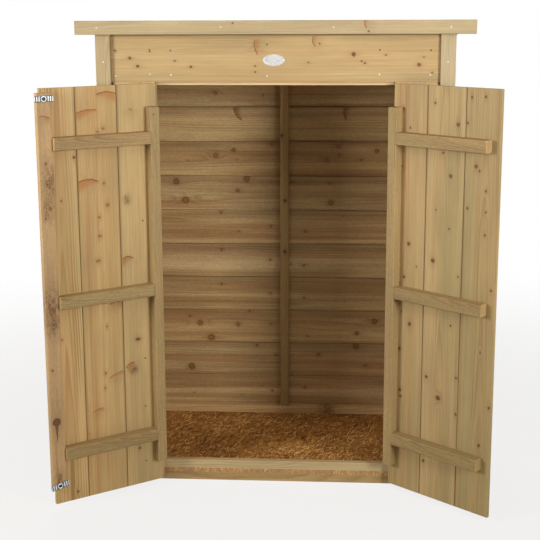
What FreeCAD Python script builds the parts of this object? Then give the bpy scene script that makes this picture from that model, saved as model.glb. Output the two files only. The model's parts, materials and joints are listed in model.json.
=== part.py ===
import FreeCAD, Part
import math
import os

# Garden storage cabinet in pressure-treated softwood with a felted pent roof and two ledged doors.
# X points right, Y points to the back and Z points up.
# The origin is on the ground, under the centre of the frame.
# The doors are drawn closed and then swung to the angles at which the photograph shows them.

# Frame and floor
frame_width = 1122.0
frame_depth = 550.0
batten_width = 32.0
batten_depth = 35.0
front_rail_depth = 20.5
back_batten_depth = 32.0
bearer_height = 28.5
bearer_width = 45.0
bearer_count = 3
floor_thickness = 15.0
front_rail_height = 30.0
side_rail_height = 32.0
back_rail_height = 28.5
back_batten_offset = 8.0
rafter_width = 28.0

# Front skin
board_thickness = 12.0
trim_width = 48.0
trim_thickness = 24.0
trim_reach = 18.0
trim_gap = 4.0
header_gap = 0.5
timber_arris = 1.5
board_arris = 1.0

# Overlap cladding
clad_thickness = 7.5
clad_board_width = 145.0
clad_pitch = 133.0
first_board_top = 191.0
back_clad_reach = 17.0

# Roof
roof_slope = 5.0
roof_side_overhang = 73.0
roof_rear_overhang = 47.0
deck_thickness = 11.0
felt_thickness = 2.0
felt_flap = 13.0
roof_timber_height = 32.0
fascia_rise = 197.5
fascia_height = 44.0
fascia_thickness = 16.0
fascia_end_reach = 4.0
fascia_lip = 1.0
fascia_batten_height = 26.0
fascia_batten_setback = 14.0

# Badge plate, blank, on the header
badge_length = 70.0
badge_height = 37.0
badge_thickness = 1.6
badge_rim = 3.5
badge_recess = 0.5
badge_x = -2.0
badge_rise = 70.5

# Doors
door_bottom = 18.0
door_width = 386.0
door_height = 1364.0
door_gap = 2.5
door_head_cover = 10.5
head_rail_height = 46.0
meeting_gap = 3.0
board_cover = 139.0
left_first_board = 133.0
right_first_board = 126.5
joint_gap = 1.0
tongue_thickness = 4.0
tongue_length = 6.0
groove_clearance = 0.2
vee_chamfer = 2.5
ledge_height = 40.0
upper_ledge_drop = 152.0
lower_ledge_rise = 198.0
hinge_batten_top_gap = 73.0
hinge_batten_bottom_gap = 81.0
stile_width = 46.5
stile_thickness = 21.0
stile_reach = 15.5
stile_top_gap = 13.5
stile_bottom_gap = 60.0
right_ledge_setback = 28.5
left_door_angle = 146.0
right_door_angle = 141.5

# Hinges: tapered strap on the door, upright plate on the frame, loose pin between them
axis_setback = 5.0
knuckle_radius = 3.0
knuckle_clearance = 0.3
knuckle_height = 24.0
knuckle_gap = 0.4
pin_radius = 1.5
pin_fit = 0.05
pin_stand = 1.0
hinge_leaf = 2.0
strap_length = 150.0
strap_root = 32.0
strap_tip = 16.0
plate_width = 28.0
screw_hole_radius = 2.2
strap_holes = 3
plate_holes = 2

# Turn buttons
button_length = 62.0
button_width = 19.0
button_thickness = 2.0
button_corner = 4.0
button_clearance = 0.3
button_ribs = 3
button_rib_pitch = 3.5
button_rib_height = 0.8
button_rib_width = 1.6
button_ring_radius = 7.5
button_ring_height = 1.2
screw_radius = 2.2
screw_fit = 0.05
screw_depth = 14.0
screw_head_radius = 4.5
screw_head_height = 2.2
screw_slot_width = 1.2
screw_slot_depth = 0.9
upper_button_drop = 31.0
lower_button_rise = 72.0
lower_button_tilt = 10.0
outer_button_rise = 670.0
outer_button_inset = 13.0

# Places that follow from the sizes above
half_width = frame_width / 2
half_depth = frame_depth / 2
frame_front = -half_depth
skin_front = frame_front - board_thickness
trim_front = frame_front - trim_thickness
jamb_back = frame_front + batten_depth
rail_back = frame_front + front_rail_depth
post_inner = half_width - batten_width
rear_post_front = half_depth - batten_depth
back_frame_front = half_depth - back_batten_depth
floor_top = bearer_height + floor_thickness
front_rail_top = floor_top + front_rail_height
back_rail_top = floor_top + back_rail_height
door_top = door_bottom + door_height
header_bottom = door_top + door_gap
head_rail_bottom = header_bottom - door_head_cover
fascia_top = header_bottom + fascia_rise
badge_z = header_bottom + badge_rise
upper_ledge_top = door_top - upper_ledge_drop
lower_ledge_top = door_bottom + lower_ledge_rise
ledge_tops = {
    "upper": upper_ledge_top,
    "middle": (upper_ledge_top + lower_ledge_top) / 2,
    "lower": lower_ledge_top,
}
door_edge = door_width + meeting_gap / 2
hinge_axis_x = door_edge + axis_setback
hinge_axis_y = skin_front - knuckle_clearance - knuckle_radius
opening_half = door_edge + door_gap
roof_half_width = half_width + roof_side_overhang
fascia_half_width = roof_half_width + fascia_end_reach
trim_outer = half_width + trim_reach
trim_inner = trim_outer - trim_width
slope_drop = math.tan(math.radians(roof_slope))
deck_rise = deck_thickness / math.cos(math.radians(roof_slope))
felt_rise = felt_thickness / math.cos(math.radians(roof_slope))
fascia_back = trim_front - board_thickness
fascia_front = fascia_back - fascia_thickness
deck_back = half_depth + roof_rear_overhang
deck_front_top = fascia_top - fascia_lip - felt_rise
stile_inner_edge = door_width + stile_reach - stile_width
button_u = stile_inner_edge + stile_width / 2
outer_button_u = door_width - outer_button_inset
outer_button_z = door_bottom + outer_button_rise
hinge_height = 3 * knuckle_height
LEFT = -1
RIGHT = 1
SIDE_NAMES = {LEFT: "left", RIGHT: "right"}
DOOR_ANGLES = {LEFT: left_door_angle, RIGHT: right_door_angle}
FIRST_BOARDS = {LEFT: left_first_board, RIGHT: right_first_board}


def vector(x, y, z):
    return FreeCAD.Vector(x, y, z)


def block(x0, x1, y0, y1, z0, z1):
    """Rectangular timber between two corners."""
    low = vector(min(x0, x1), min(y0, y1), min(z0, z1))
    return Part.makeBox(abs(x1 - x0), abs(y1 - y0), abs(z1 - z0), low)


def prism(points, travel):
    """Solid swept from a closed outline of straight sides."""
    wire = Part.makePolygon(points + [points[0]])
    return Part.Face(wire).extrude(travel)


def prism_along_x(outline, x0, x1):
    points = [vector(x0, y, z) for y, z in outline]
    return prism(points, vector(x1 - x0, 0, 0))


def prism_along_y(outline, y0, y1):
    points = [vector(x, y0, z) for x, z in outline]
    return prism(points, vector(0, y1 - y0, 0))


def prism_along_z(outline, z0, z1):
    points = [vector(x, y, z0) for x, y in outline]
    return prism(points, vector(0, 0, z1 - z0))


def ease(shape, picks, size):
    """Takes the sharp arris off the edges that the test picks."""
    edges = [edge for edge in shape.Edges if picks(edge)]
    return shape.makeChamfer(size, edges)


def upright_front_edge(edge, y):
    box = edge.BoundBox
    return box.XLength < 1e-6 and box.YLength < 1e-6 and abs(box.YMin - y) < 1e-6


def level_front_edge(edge, y):
    box = edge.BoundBox
    return box.ZLength < 1e-6 and box.YLength < 1e-6 and abs(box.YMin - y) < 1e-6


def deck_under(y):
    """Height of the roof deck's underside at a distance to the back."""
    return deck_front_top - deck_rise - (y - fascia_back) * slope_drop


def under_roof(x0, x1, y0, y1, z0):
    """Timber whose top is cut to lie against the sloping deck."""
    outline = [(y0, z0), (y1, z0), (y1, deck_under(y1)), (y0, deck_under(y0))]
    return prism_along_x(outline, x0, x1)


def sloping_rail(x0, x1, y0, y1, height):
    """Rail that runs along the underside of the sloping deck."""
    outline = [
        (y0, deck_under(y0) - height),
        (y1, deck_under(y1) - height),
        (y1, deck_under(y1)),
        (y0, deck_under(y0)),
    ]
    return prism_along_x(outline, x0, x1)


def make_floor():
    bearers = []
    for index in range(bearer_count):
        share = index / (bearer_count - 1)
        y0 = -half_depth + share * (frame_depth - bearer_width)
        bearers.append(block(-half_width, half_width, y0, y0 + bearer_width, 0, bearer_height))
    board = block(-half_width, half_width, -half_depth, half_depth, bearer_height, floor_top)
    return {"floor_bearers": Part.makeCompound(bearers), "floor_board": board}


def make_front_frame():
    pieces = {}
    pieces["front_bottom_rail"] = block(
        -post_inner, post_inner, frame_front, rail_back, floor_top, front_rail_top
    )
    head_top = head_rail_bottom + head_rail_height
    pieces["door_head_rail"] = block(
        -post_inner, post_inner, frame_front, rail_back, head_rail_bottom, head_top
    )
    plate_bottom = deck_under(jamb_back) - roof_timber_height
    pieces["front_head_plate"] = under_roof(
        -post_inner, post_inner, frame_front, jamb_back, plate_bottom
    )
    for side, name in SIDE_NAMES.items():
        pieces[name + "_front_post"] = under_roof(
            side * post_inner, side * half_width, frame_front, jamb_back, floor_top
        )
        pieces[name + "_door_jamb"] = block(
            side * opening_half,
            side * (opening_half + batten_width),
            frame_front,
            jamb_back,
            front_rail_top,
            head_rail_bottom,
        )
    return pieces


def make_front_skin():
    pieces = {}
    header_half = trim_inner - header_gap
    header = under_roof(-header_half, header_half, skin_front, frame_front, header_bottom)
    pieces["header_board"] = ease(
        header,
        lambda edge: level_front_edge(edge, skin_front) and edge.BoundBox.ZMin < header_bottom + 1,
        board_arris,
    )
    for side, name in SIDE_NAMES.items():
        board = block(
            side * opening_half,
            side * (trim_inner - trim_gap),
            skin_front,
            frame_front,
            door_bottom,
            header_bottom,
        )
        pieces[name + "_front_board"] = ease(
            board, lambda edge: upright_front_edge(edge, skin_front), board_arris
        )
        trim = under_roof(side * trim_inner, side * trim_outer, trim_front, frame_front, door_bottom)
        pieces[name + "_corner_trim"] = ease(
            trim, lambda edge: upright_front_edge(edge, trim_front), timber_arris
        )
    return pieces


def make_side_frames():
    pieces = {}
    for side, name in SIDE_NAMES.items():
        inner = side * post_inner
        outer = side * half_width
        pieces[name + "_rear_post"] = under_roof(inner, outer, rear_post_front, half_depth, floor_top)
        pieces[name + "_side_bottom_rail"] = block(
            inner, outer, jamb_back, rear_post_front, floor_top, floor_top + side_rail_height
        )
        pieces[name + "_side_top_rail"] = sloping_rail(
            inner, outer, jamb_back, rear_post_front, roof_timber_height
        )
    return pieces


def make_back_frame():
    top_rail_bottom = deck_under(half_depth) - roof_timber_height
    batten_left = back_batten_offset - batten_width / 2
    return {
        "back_bottom_rail": block(
            -post_inner, post_inner, back_frame_front, half_depth, floor_top, back_rail_top
        ),
        "back_top_rail": under_roof(
            -post_inner, post_inner, back_frame_front, half_depth, top_rail_bottom
        ),
        "back_centre_batten": block(
            batten_left,
            batten_left + batten_width,
            back_frame_front,
            half_depth,
            back_rail_top,
            top_rail_bottom,
        ),
    }


def lapped_outlines(roof_height):
    """Outlines of lapped boards as distance off the frame and height.

    Each board leans out by its own thickness, so its foot lies on the head of the board below.
    """
    lean = clad_thickness / clad_pitch
    outlines = []
    top = first_board_top
    bottom = door_bottom
    while top - clad_pitch < roof_height:
        foot = (top - bottom) * lean
        outlines.append(
            [(foot, bottom), (foot + clad_thickness, bottom), (clad_thickness, top), (0, top)]
        )
        top += clad_pitch
        bottom = top - clad_board_width
    return outlines


def roof_cutter():
    """Everything above the underside of the deck."""
    front = -frame_depth
    back = frame_depth
    outline = [
        (front, deck_under(front)),
        (back, deck_under(back)),
        (back, deck_under(back) + frame_depth),
        (front, deck_under(front) + frame_depth),
    ]
    return prism_along_x(outline, -frame_width, frame_width)


def make_cladding():
    pieces = {}
    cutter = roof_cutter()
    for side, name in SIDE_NAMES.items():
        boards = []
        for outline in lapped_outlines(deck_under(-half_depth)):
            placed = [(side * (half_width + off), z) for off, z in outline]
            boards += prism_along_y(placed, -half_depth, half_depth).cut(cutter).Solids
        pieces[name + "_side_cladding"] = Part.makeCompound(boards)
    boards = []
    reach = half_width + back_clad_reach
    for outline in lapped_outlines(deck_under(half_depth)):
        placed = [(half_depth + off, z) for off, z in outline]
        boards += prism_along_x(placed, -reach, reach).cut(cutter).Solids
    pieces["back_cladding"] = Part.makeCompound(boards)
    return pieces


def make_roof():
    pieces = {}
    deck_under_front = deck_under(fascia_back)
    deck_under_back = deck_under(deck_back)
    deck = [
        (fascia_back, deck_under_front),
        (deck_back, deck_under_back),
        (deck_back, deck_under_back + deck_rise),
        (fascia_back, deck_under_front + deck_rise),
    ]
    pieces["roof_deck"] = prism_along_x(deck, -roof_half_width, roof_half_width)
    top_front = deck_under_front + deck_rise
    top_back = deck_under_back + deck_rise
    felt_back = deck_back + felt_thickness
    felt_half = roof_half_width + felt_thickness
    lap = felt_thickness * slope_drop
    sheet = [
        (fascia_back, top_front),
        (deck_back, top_back),
        (deck_back, top_back - felt_flap),
        (felt_back, top_back - felt_flap),
        (felt_back, top_back - lap + felt_rise),
        (fascia_back, top_front + felt_rise),
    ]
    felt = prism_along_x(sheet, -felt_half, felt_half)
    flap = [
        (fascia_back, top_front + felt_rise),
        (fascia_back, top_front - felt_flap),
        (felt_back, top_back - lap - felt_flap),
        (felt_back, top_back - lap + felt_rise),
    ]
    for side in SIDE_NAMES:
        felt = felt.fuse(prism_along_x(flap, side * roof_half_width, side * felt_half))
    pieces["roof_felt"] = felt.removeSplitter()
    pieces["roof_rafter"] = sloping_rail(
        -rafter_width / 2, rafter_width / 2, jamb_back, back_frame_front, roof_timber_height
    )
    fascia = block(
        -fascia_half_width,
        fascia_half_width,
        fascia_front,
        fascia_back,
        fascia_top - fascia_height,
        fascia_top,
    )
    pieces["front_fascia"] = ease(
        fascia, lambda edge: level_front_edge(edge, fascia_front), timber_arris
    )
    batten_half = roof_half_width - fascia_batten_setback
    batten_bottom = deck_under(trim_front) - fascia_batten_height
    pieces["fascia_batten"] = under_roof(
        -batten_half, batten_half, fascia_back, trim_front, batten_bottom
    )
    return pieces


def ellipse_disc(length, height, thickness, front):
    """Oval disc that faces the front, its back at front + thickness."""
    ellipse = Part.Ellipse(vector(0, 0, 0), length / 2, height / 2)
    disc = Part.Face(Part.Wire(ellipse.toShape())).extrude(vector(0, 0, thickness))
    disc.rotate(vector(0, 0, 0), vector(1, 0, 0), 90)
    disc.translate(vector(badge_x, front + thickness, badge_z))
    return disc


def make_badge():
    front = skin_front - badge_thickness
    plate = ellipse_disc(badge_length, badge_height, badge_thickness, front)
    inner_length = badge_length - 2 * badge_rim
    inner_height = badge_height - 2 * badge_rim
    return plate.cut(ellipse_disc(inner_length, inner_height, badge_recess, front))


def door_point(side, u, v):
    """Plan point on a closed door: u from its hinge edge, v in from its outer face."""
    return (side * (door_edge - u), skin_front + v)


def door_block(side, u0, u1, v0, v1, z0, z1):
    x0, y0 = door_point(side, u0, v0)
    x1, y1 = door_point(side, u1, v1)
    return block(x0, x1, y0, y1, z0, z1)


def swing(shape, side):
    """Turns a piece of a closed door to the open angle of the rest pose."""
    turned = shape.copy()
    axis_point = vector(side * hinge_axis_x, hinge_axis_y, 0)
    turned.rotate(axis_point, vector(0, 0, 1), side * DOOR_ANGLES[side])
    return turned


def matchboard_outline(side, u0, u1, has_groove, has_tongue):
    """Plan outline of a tongued and grooved board with a V joint on its outer face."""
    tongue_near = (board_thickness - tongue_thickness) / 2
    tongue_far = tongue_near + tongue_thickness
    groove_near = tongue_near - groove_clearance
    groove_far = tongue_far + groove_clearance
    groove_depth = tongue_length + groove_clearance + joint_gap
    outline = []
    if has_groove:
        outline += [(u0, vee_chamfer), (u0 + vee_chamfer, 0)]
    else:
        outline += [(u0, 0)]
    if has_tongue:
        outline += [(u1 - vee_chamfer, 0), (u1, vee_chamfer)]
        outline += [(u1, tongue_near), (u1 + tongue_length, tongue_near)]
        outline += [(u1 + tongue_length, tongue_far), (u1, tongue_far)]
    else:
        outline += [(u1, 0)]
    outline += [(u1, board_thickness), (u0, board_thickness)]
    if has_groove:
        outline += [(u0, groove_far), (u0 + groove_depth, groove_far)]
        outline += [(u0 + groove_depth, groove_near), (u0, groove_near)]
    return [door_point(side, u, v) for u, v in outline]


def make_door_boards(side):
    name = SIDE_NAMES[side]
    first = FIRST_BOARDS[side]
    joints = [0, first, first + board_cover, door_width]
    labels = ["hinge", "middle", "meeting"]
    pieces = {}
    for index, label in enumerate(labels):
        is_first = index == 0
        is_last = index == len(labels) - 1
        u0 = joints[index] + (0 if is_first else joint_gap / 2)
        u1 = joints[index + 1] - (0 if is_last else joint_gap / 2)
        outline = matchboard_outline(side, u0, u1, not is_first, not is_last)
        board = prism_along_z(outline, door_bottom, door_top)
        if side == LEFT and is_last:
            board = board.cut(screw_bore(outer_button_u, 0, board_thickness, outer_button_z))
        pieces[name + "_door_" + label + "_board"] = swing(board, side)
    return pieces


def make_door_back(side):
    """Ledges and the upright batten along the hinge edge, on the inner face."""
    name = SIDE_NAMES[side]
    inner = board_thickness
    outer = board_thickness + batten_depth
    ledge_end = stile_inner_edge if side == LEFT else door_width - right_ledge_setback
    face_y = skin_front + outer
    pieces = {}
    for label, top in ledge_tops.items():
        ledge = door_block(side, batten_width, ledge_end, inner, outer, top - ledge_height, top)
        ledge = ease(ledge, lambda edge: level_front_edge(edge, face_y), timber_arris)
        pieces[name + "_door_" + label + "_ledge"] = swing(ledge, side)
    batten = door_block(
        side,
        0,
        batten_width,
        inner,
        outer,
        door_bottom + hinge_batten_bottom_gap,
        door_top - hinge_batten_top_gap,
    )
    batten = ease(batten, lambda edge: upright_front_edge(edge, face_y), timber_arris)
    pieces[name + "_door_hinge_batten"] = swing(batten, side)
    return pieces


def screw_bore(u, v0, v1, z):
    """Round bore through the left door's thickness."""
    x, y = door_point(LEFT, u, v0)
    return Part.makeCylinder(screw_radius + screw_fit, v1 - v0, vector(x, y, z), vector(0, 1, 0))


def make_meeting_stile():
    inner = board_thickness
    outer = board_thickness + stile_thickness
    bottom = door_bottom + stile_bottom_gap
    top = door_top - stile_top_gap
    stile = door_block(
        LEFT, stile_inner_edge, stile_inner_edge + stile_width, inner, outer, bottom, top
    )
    face_y = skin_front + outer
    stile = ease(stile, lambda edge: upright_front_edge(edge, face_y), timber_arris)
    for z in (door_top - upper_button_drop, door_bottom + lower_button_rise):
        stile = stile.cut(screw_bore(button_u, outer - screw_depth, outer, z))
    stile = stile.cut(screw_bore(outer_button_u, inner, screw_depth, outer_button_z))
    return swing(stile, LEFT)


def rounded_strap(x0, x1, z_mid, root, tip, y0, y1):
    """Flat strap that narrows to a half-round end."""
    run = x1 - x0
    end = x1 - math.copysign(tip / 2, run)
    nose = math.copysign(tip / 2, run)
    top = z_mid + root / 2
    low = z_mid - root / 2
    tip_top = vector(end, y0, z_mid + tip / 2)
    tip_low = vector(end, y0, z_mid - tip / 2)
    root_top = vector(x0, y0, top)
    root_low = vector(x0, y0, low)
    edges = [
        Part.makeLine(root_low, tip_low),
        Part.Arc(tip_low, vector(end + nose, y0, z_mid), tip_top).toShape(),
        Part.makeLine(tip_top, root_top),
        Part.makeLine(root_top, root_low),
    ]
    return Part.Face(Part.Wire(edges)).extrude(vector(0, y1 - y0, 0))


def knuckle(side, z0, z1):
    return Part.makeCylinder(
        knuckle_radius, z1 - z0, vector(side * hinge_axis_x, hinge_axis_y, z0)
    )


def pin_bore(side, z0, z1, fit):
    return Part.makeCylinder(
        pin_radius + fit, z1 - z0, vector(side * hinge_axis_x, hinge_axis_y, z0)
    )


def leaf_hole(x, z):
    start = vector(x, skin_front - 2 * hinge_leaf, z)
    return Part.makeCylinder(screw_hole_radius, 3 * hinge_leaf, start, vector(0, 1, 0))


def make_strap(side, z_mid):
    """Door leaf: middle knuckle, root tab and tapered strap."""
    leaf_front = skin_front - hinge_leaf
    half = knuckle_height / 2 - knuckle_gap
    clear = knuckle_radius + knuckle_gap
    root_x = side * (hinge_axis_x - clear)
    tip_x = side * (hinge_axis_x - strap_length)
    strap = rounded_strap(root_x, tip_x, z_mid, strap_root, strap_tip, leaf_front, skin_front)
    tab = block(side * hinge_axis_x, root_x, leaf_front, skin_front, z_mid - half, z_mid + half)
    tab = tab.fuse(knuckle(side, z_mid - half, z_mid + half))
    tab = tab.common(block(
        side * (hinge_axis_x + knuckle_radius),
        root_x,
        hinge_axis_y - knuckle_radius,
        skin_front,
        z_mid - half,
        z_mid + half,
    ))
    leaf = strap.fuse(tab).cut(pin_bore(side, z_mid - half, z_mid + half, pin_fit))
    spacing = (strap_length - plate_width) / strap_holes
    for index in range(strap_holes):
        reach = plate_width / 2 + (index + 0.5) * spacing
        leaf = leaf.cut(leaf_hole(side * (hinge_axis_x - reach), z_mid))
    return leaf.removeSplitter()


def make_frame_plate(side, z_mid):
    """Frame leaf: upper and lower knuckles on an upright plate."""
    leaf_front = skin_front - hinge_leaf
    clear = knuckle_radius + knuckle_gap
    near_x = side * (hinge_axis_x + clear)
    far_x = side * (hinge_axis_x + clear + plate_width)
    low = z_mid - hinge_height / 2
    high = z_mid + hinge_height / 2
    leaf = block(near_x, far_x, leaf_front, skin_front, low, high)
    for z0, z1 in ((low, low + knuckle_height), (high - knuckle_height, high)):
        leaf = leaf.fuse(block(side * hinge_axis_x, near_x, leaf_front, skin_front, z0, z1))
        leaf = leaf.fuse(knuckle(side, z0, z1))
    leaf = leaf.cut(pin_bore(side, low, high, pin_fit))
    middle_x = (near_x + far_x) / 2
    for index in range(plate_holes):
        z = low + (index + 0.5) * hinge_height / plate_holes
        leaf = leaf.cut(leaf_hole(middle_x, z))
    return leaf.removeSplitter()


def make_pin(side, z_mid):
    """Hinge pin that stands a little proud of the outer knuckles."""
    low = z_mid - hinge_height / 2 - pin_stand
    foot = vector(side * hinge_axis_x, hinge_axis_y, low)
    return Part.makeCylinder(pin_radius, hinge_height + 2 * pin_stand, foot)


def make_hinges(side):
    name = SIDE_NAMES[side]
    middles = [ledge_tops[label] - ledge_height / 2 for label in ("upper", "lower")]
    straps = [swing(make_strap(side, z), side) for z in middles]
    plates = [make_frame_plate(side, z) for z in middles]
    pins = [make_pin(side, z) for z in middles]
    return {
        name + "_hinge_straps": Part.makeCompound(straps),
        name + "_hinge_frame_plates": Part.makeCompound(plates),
        name + "_hinge_pins": Part.makeCompound(pins),
    }


def button_blank():
    """Turn button lying in the XZ plane, its back at y = 0 and its pivot at the origin."""
    plate = block(
        -button_length / 2, button_length / 2, 0, button_thickness, -button_width / 2, button_width / 2
    )
    corners = [edge for edge in plate.Edges if edge.BoundBox.YLength > button_thickness / 2]
    plate = plate.makeFillet(button_corner, corners)
    y = vector(0, 1, 0)
    front = button_thickness
    rib_half = button_width / 2 - button_corner
    for end in (LEFT, RIGHT):
        for index in range(button_ribs):
            x = end * (button_length / 2 - button_corner - index * button_rib_pitch)
            rib = block(
                x - button_rib_width / 2,
                x + button_rib_width / 2,
                front - button_rib_height,
                front + button_rib_height,
                -rib_half,
                rib_half,
            )
            plate = plate.fuse(rib)
    ring = Part.makeCylinder(button_ring_radius, front + button_ring_height, vector(0, 0, 0), y)
    bore_length = front + button_ring_height
    bore = Part.makeCylinder(screw_radius + screw_fit, bore_length, vector(0, 0, 0), y)
    return plate.fuse(ring).cut(bore).removeSplitter()


def screw_blank():
    """Pan-head screw for a turn button, on the same pivot and facing the same way."""
    y = vector(0, 1, 0)
    seat = button_thickness + button_ring_height + button_clearance
    shank = Part.makeCylinder(screw_radius, screw_depth + seat, vector(0, -screw_depth, 0), y)
    head = Part.makeCylinder(screw_head_radius, screw_head_height, vector(0, seat, 0), y)
    rim = [edge for edge in head.Edges if edge.BoundBox.YMin > seat + screw_head_height / 2]
    head = head.makeChamfer(screw_slot_depth, rim)
    slot = block(
        -screw_head_radius,
        screw_head_radius,
        seat + screw_head_height - screw_slot_depth,
        seat + screw_head_height,
        -screw_slot_width / 2,
        screw_slot_width / 2,
    )
    return shank.fuse(head).cut(slot).removeSplitter()


def place_on_left_door(shape, u, v, z, tilt, outward):
    """Puts a blank on the left door: on its inner face, or turned round onto its outer face."""
    placed = shape.copy()
    placed.rotate(vector(0, 0, 0), vector(0, 1, 0), tilt)
    if outward:
        placed.rotate(vector(0, 0, 0), vector(0, 0, 1), 180)
    x, y = door_point(LEFT, u, v)
    placed.translate(vector(x, y, z))
    return swing(placed, LEFT)


def make_turn_buttons():
    """Two buttons on the meeting stile hold the left door, one outside holds the right door."""
    inner = board_thickness + stile_thickness
    places = {
        "upper_turn_button": (button_u, inner, door_top - upper_button_drop, 0, False),
        "lower_turn_button": (
            button_u, inner, door_bottom + lower_button_rise, lower_button_tilt, False
        ),
        "outer_turn_button": (outer_button_u, 0, outer_button_z, 90, True),
    }
    pieces = {}
    screws = []
    for name, (u, v, z, tilt, outward) in places.items():
        gap = -button_clearance if outward else button_clearance
        pieces[name] = place_on_left_door(button_blank(), u, v + gap, z, tilt, outward)
        screws.append(place_on_left_door(screw_blank(), u, v + gap, z, tilt, outward))
    pieces["turn_button_screws"] = Part.makeCompound(screws)
    return pieces


def build():
    pieces = {}
    pieces.update(make_floor())
    pieces.update(make_front_frame())
    pieces.update(make_front_skin())
    pieces.update(make_side_frames())
    pieces.update(make_back_frame())
    pieces.update(make_cladding())
    pieces.update(make_roof())
    pieces["badge_plate"] = make_badge()
    for side in SIDE_NAMES:
        pieces.update(make_door_boards(side))
        pieces.update(make_door_back(side))
        pieces.update(make_hinges(side))
    pieces["meeting_stile"] = make_meeting_stile()
    pieces.update(make_turn_buttons())
    return pieces


os.makedirs("parts", exist_ok=True)
for node, shape in build().items():
    shape.exportStep("parts/" + node + ".step")
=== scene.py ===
import json
import math

import bmesh
import bpy
from bpy.props import FloatProperty, FloatVectorProperty, PointerProperty
from mathutils import Matrix, Vector, noise


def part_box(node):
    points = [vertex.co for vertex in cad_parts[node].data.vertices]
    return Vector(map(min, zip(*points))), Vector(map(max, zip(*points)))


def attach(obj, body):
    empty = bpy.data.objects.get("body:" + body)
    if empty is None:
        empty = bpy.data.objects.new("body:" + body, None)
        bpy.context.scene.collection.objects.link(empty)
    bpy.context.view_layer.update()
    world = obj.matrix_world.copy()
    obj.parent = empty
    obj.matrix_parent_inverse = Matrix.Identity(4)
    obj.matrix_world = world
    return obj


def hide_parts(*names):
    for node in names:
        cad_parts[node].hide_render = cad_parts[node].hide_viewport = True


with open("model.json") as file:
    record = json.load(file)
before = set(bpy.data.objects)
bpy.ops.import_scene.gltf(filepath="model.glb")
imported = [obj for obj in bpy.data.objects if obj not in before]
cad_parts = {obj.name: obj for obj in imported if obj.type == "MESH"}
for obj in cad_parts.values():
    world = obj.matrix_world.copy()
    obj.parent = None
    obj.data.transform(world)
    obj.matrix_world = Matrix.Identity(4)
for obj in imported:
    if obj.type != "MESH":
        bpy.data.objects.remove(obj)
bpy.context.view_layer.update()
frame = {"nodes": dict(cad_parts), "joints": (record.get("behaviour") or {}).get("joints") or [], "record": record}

# Garden storage cabinet in treated softwood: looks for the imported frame, in metres.
# The doors stand at the open angles of the rest pose.

bl_info = {
    "name": "Garden Storage Cabinet",
    "version": (1, 0, 0),
    "blender": (4, 5, 0),
    "location": "3D View > Sidebar > Cabinet",
    "description": "Dresses a two-door garden cabinet in sawn softwood, strand board, felt and zinc",
    "category": "Object",
}

BODIES = {
    node: body
    for body, nodes in frame["record"]["behaviour"]["bodies"].items()
    for node in nodes
}
JOINTS = {joint["name"]: joint for joint in frame["joints"]}
SIDES = ("left", "right")

# Turns of the doors from shut to the rest pose, read from the joints
DOOR_TURNS = {
    "left": math.radians(JOINTS["left_door_hinge"]["range_deg"][0]),
    "right": -math.radians(JOINTS["right_door_hinge"]["range_deg"][0]),
}

# Ways that a timber can lie: columns are along the grain, across the face and through the thickness
UPRIGHT = Matrix(((0, 1, 0), (0, 0, 1), (1, 0, 0)))
LEVEL = Matrix(((1, 0, 0), (0, 0, -1), (0, 1, 0)))
FLAT = Matrix(((1, 0, 0), (0, 1, 0), (0, 0, 1)))
DEEP = Matrix(((0, 0, 1), (1, 0, 0), (0, 1, 0)))

# Line along the header, measured up from its middle, where a painted shadow of the fascia darkens it
HEADER_FASCIA_SHADOW = 0.0612

# Roof deck as packed
DECK_THICKNESS = 0.011
ROOF_SLOPE = math.radians(5.0)

# Lapped boards: how far one leans out over a pitch, how its sawn edges wander, and the least height
BOARD_LEAN = 0.0075
EDGE_CUTS = 30
WANE_RATE = 4.3
WANE_STEP = 5.1
BOARD_ARRIS = 0.0009
LEAST_BOARD = 0.002
# Edges that turn by more than this, in radians, are rounded
SHARP_TURN = 0.5

# Hinges as packed: the leaf, the hinge line to the door's edge, half a strap at its root, the
# strap's screw holes from the door's edge, and the frame plate's holes from the hinge line
HINGE_LEAF = 0.002
HINGE_TO_EDGE = 0.005
STRAP_HALF = 0.016
STRAP_HOLES = (0.02933, 0.07, 0.11067)
PLATE_HOLES_OUT = 0.0174
SCREW_STAND = 0.0013

# Pressed turn buttons: corner, hole, ring round the pivot, and each rib's distance and half width
BUTTON_CORNER = 0.004
BUTTON_FLOOR = 0.0013
BUTTON_GRID = (62, 20)
HUB_REACH = 0.0009
HOLE_RADIUS = 0.0029
HOLE_REACH = 0.006
HOLE_STRETCH = 0.52
RING_RADIUS = 0.0072
RING_WIDTH = 0.0019
RING_REACH = 0.0095
RING_RISE = 0.0018
RIBS = ((0.0145, 0.0021), (0.0218, 0.0021), (0.0288, 0.0018))
RIB_RISE = 0.0014
RIB_HALF_LENGTH = 0.0085
RIB_END = 0.0012

# Heads of nails and screws: sides, taper, dish, and how deep the head's foot is sunk
HEAD_SIDES = 14
HEAD_TAPER = 0.86
HEAD_DISH = 0.3
HEAD_SUNK = 0.0004

# Nails, in metres from the middle of the front or from a shut door's hinge edge
HEADER_NAILS = (
    (-0.517, 1.487), (-0.404, 1.488), (-0.336, 1.486), (-0.023, 1.505), (0.338, 1.487), (0.5, 1.486),
)
HEADER_FOOT_NAILS = (
    (-0.517, 1.405), (-0.404, 1.41), (-0.336, 1.408), (-0.023, 1.404), (0.338, 1.409), (0.5, 1.408),
)
TRIM_NAILS = tuple((x, z) for x in (-0.554, 0.554) for z in (0.06, 0.42, 0.78, 1.12, 1.45))
FASCIA_NAILS = ((-0.566, 1.56), (-0.168, 1.561), (0.19, 1.559), (0.558, 1.56))
FRONT_BOARD_NAILS = tuple((x, z) for x in (-0.47, 0.47) for z in (0.058, 0.7, 1.34))
LEDGE_NAILS_ACROSS = (0.04, 0.095, 0.17, 0.235, 0.3, 0.345)
LEDGE_NAIL_HEIGHTS = (1.218, 0.697, 0.201)
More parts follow.
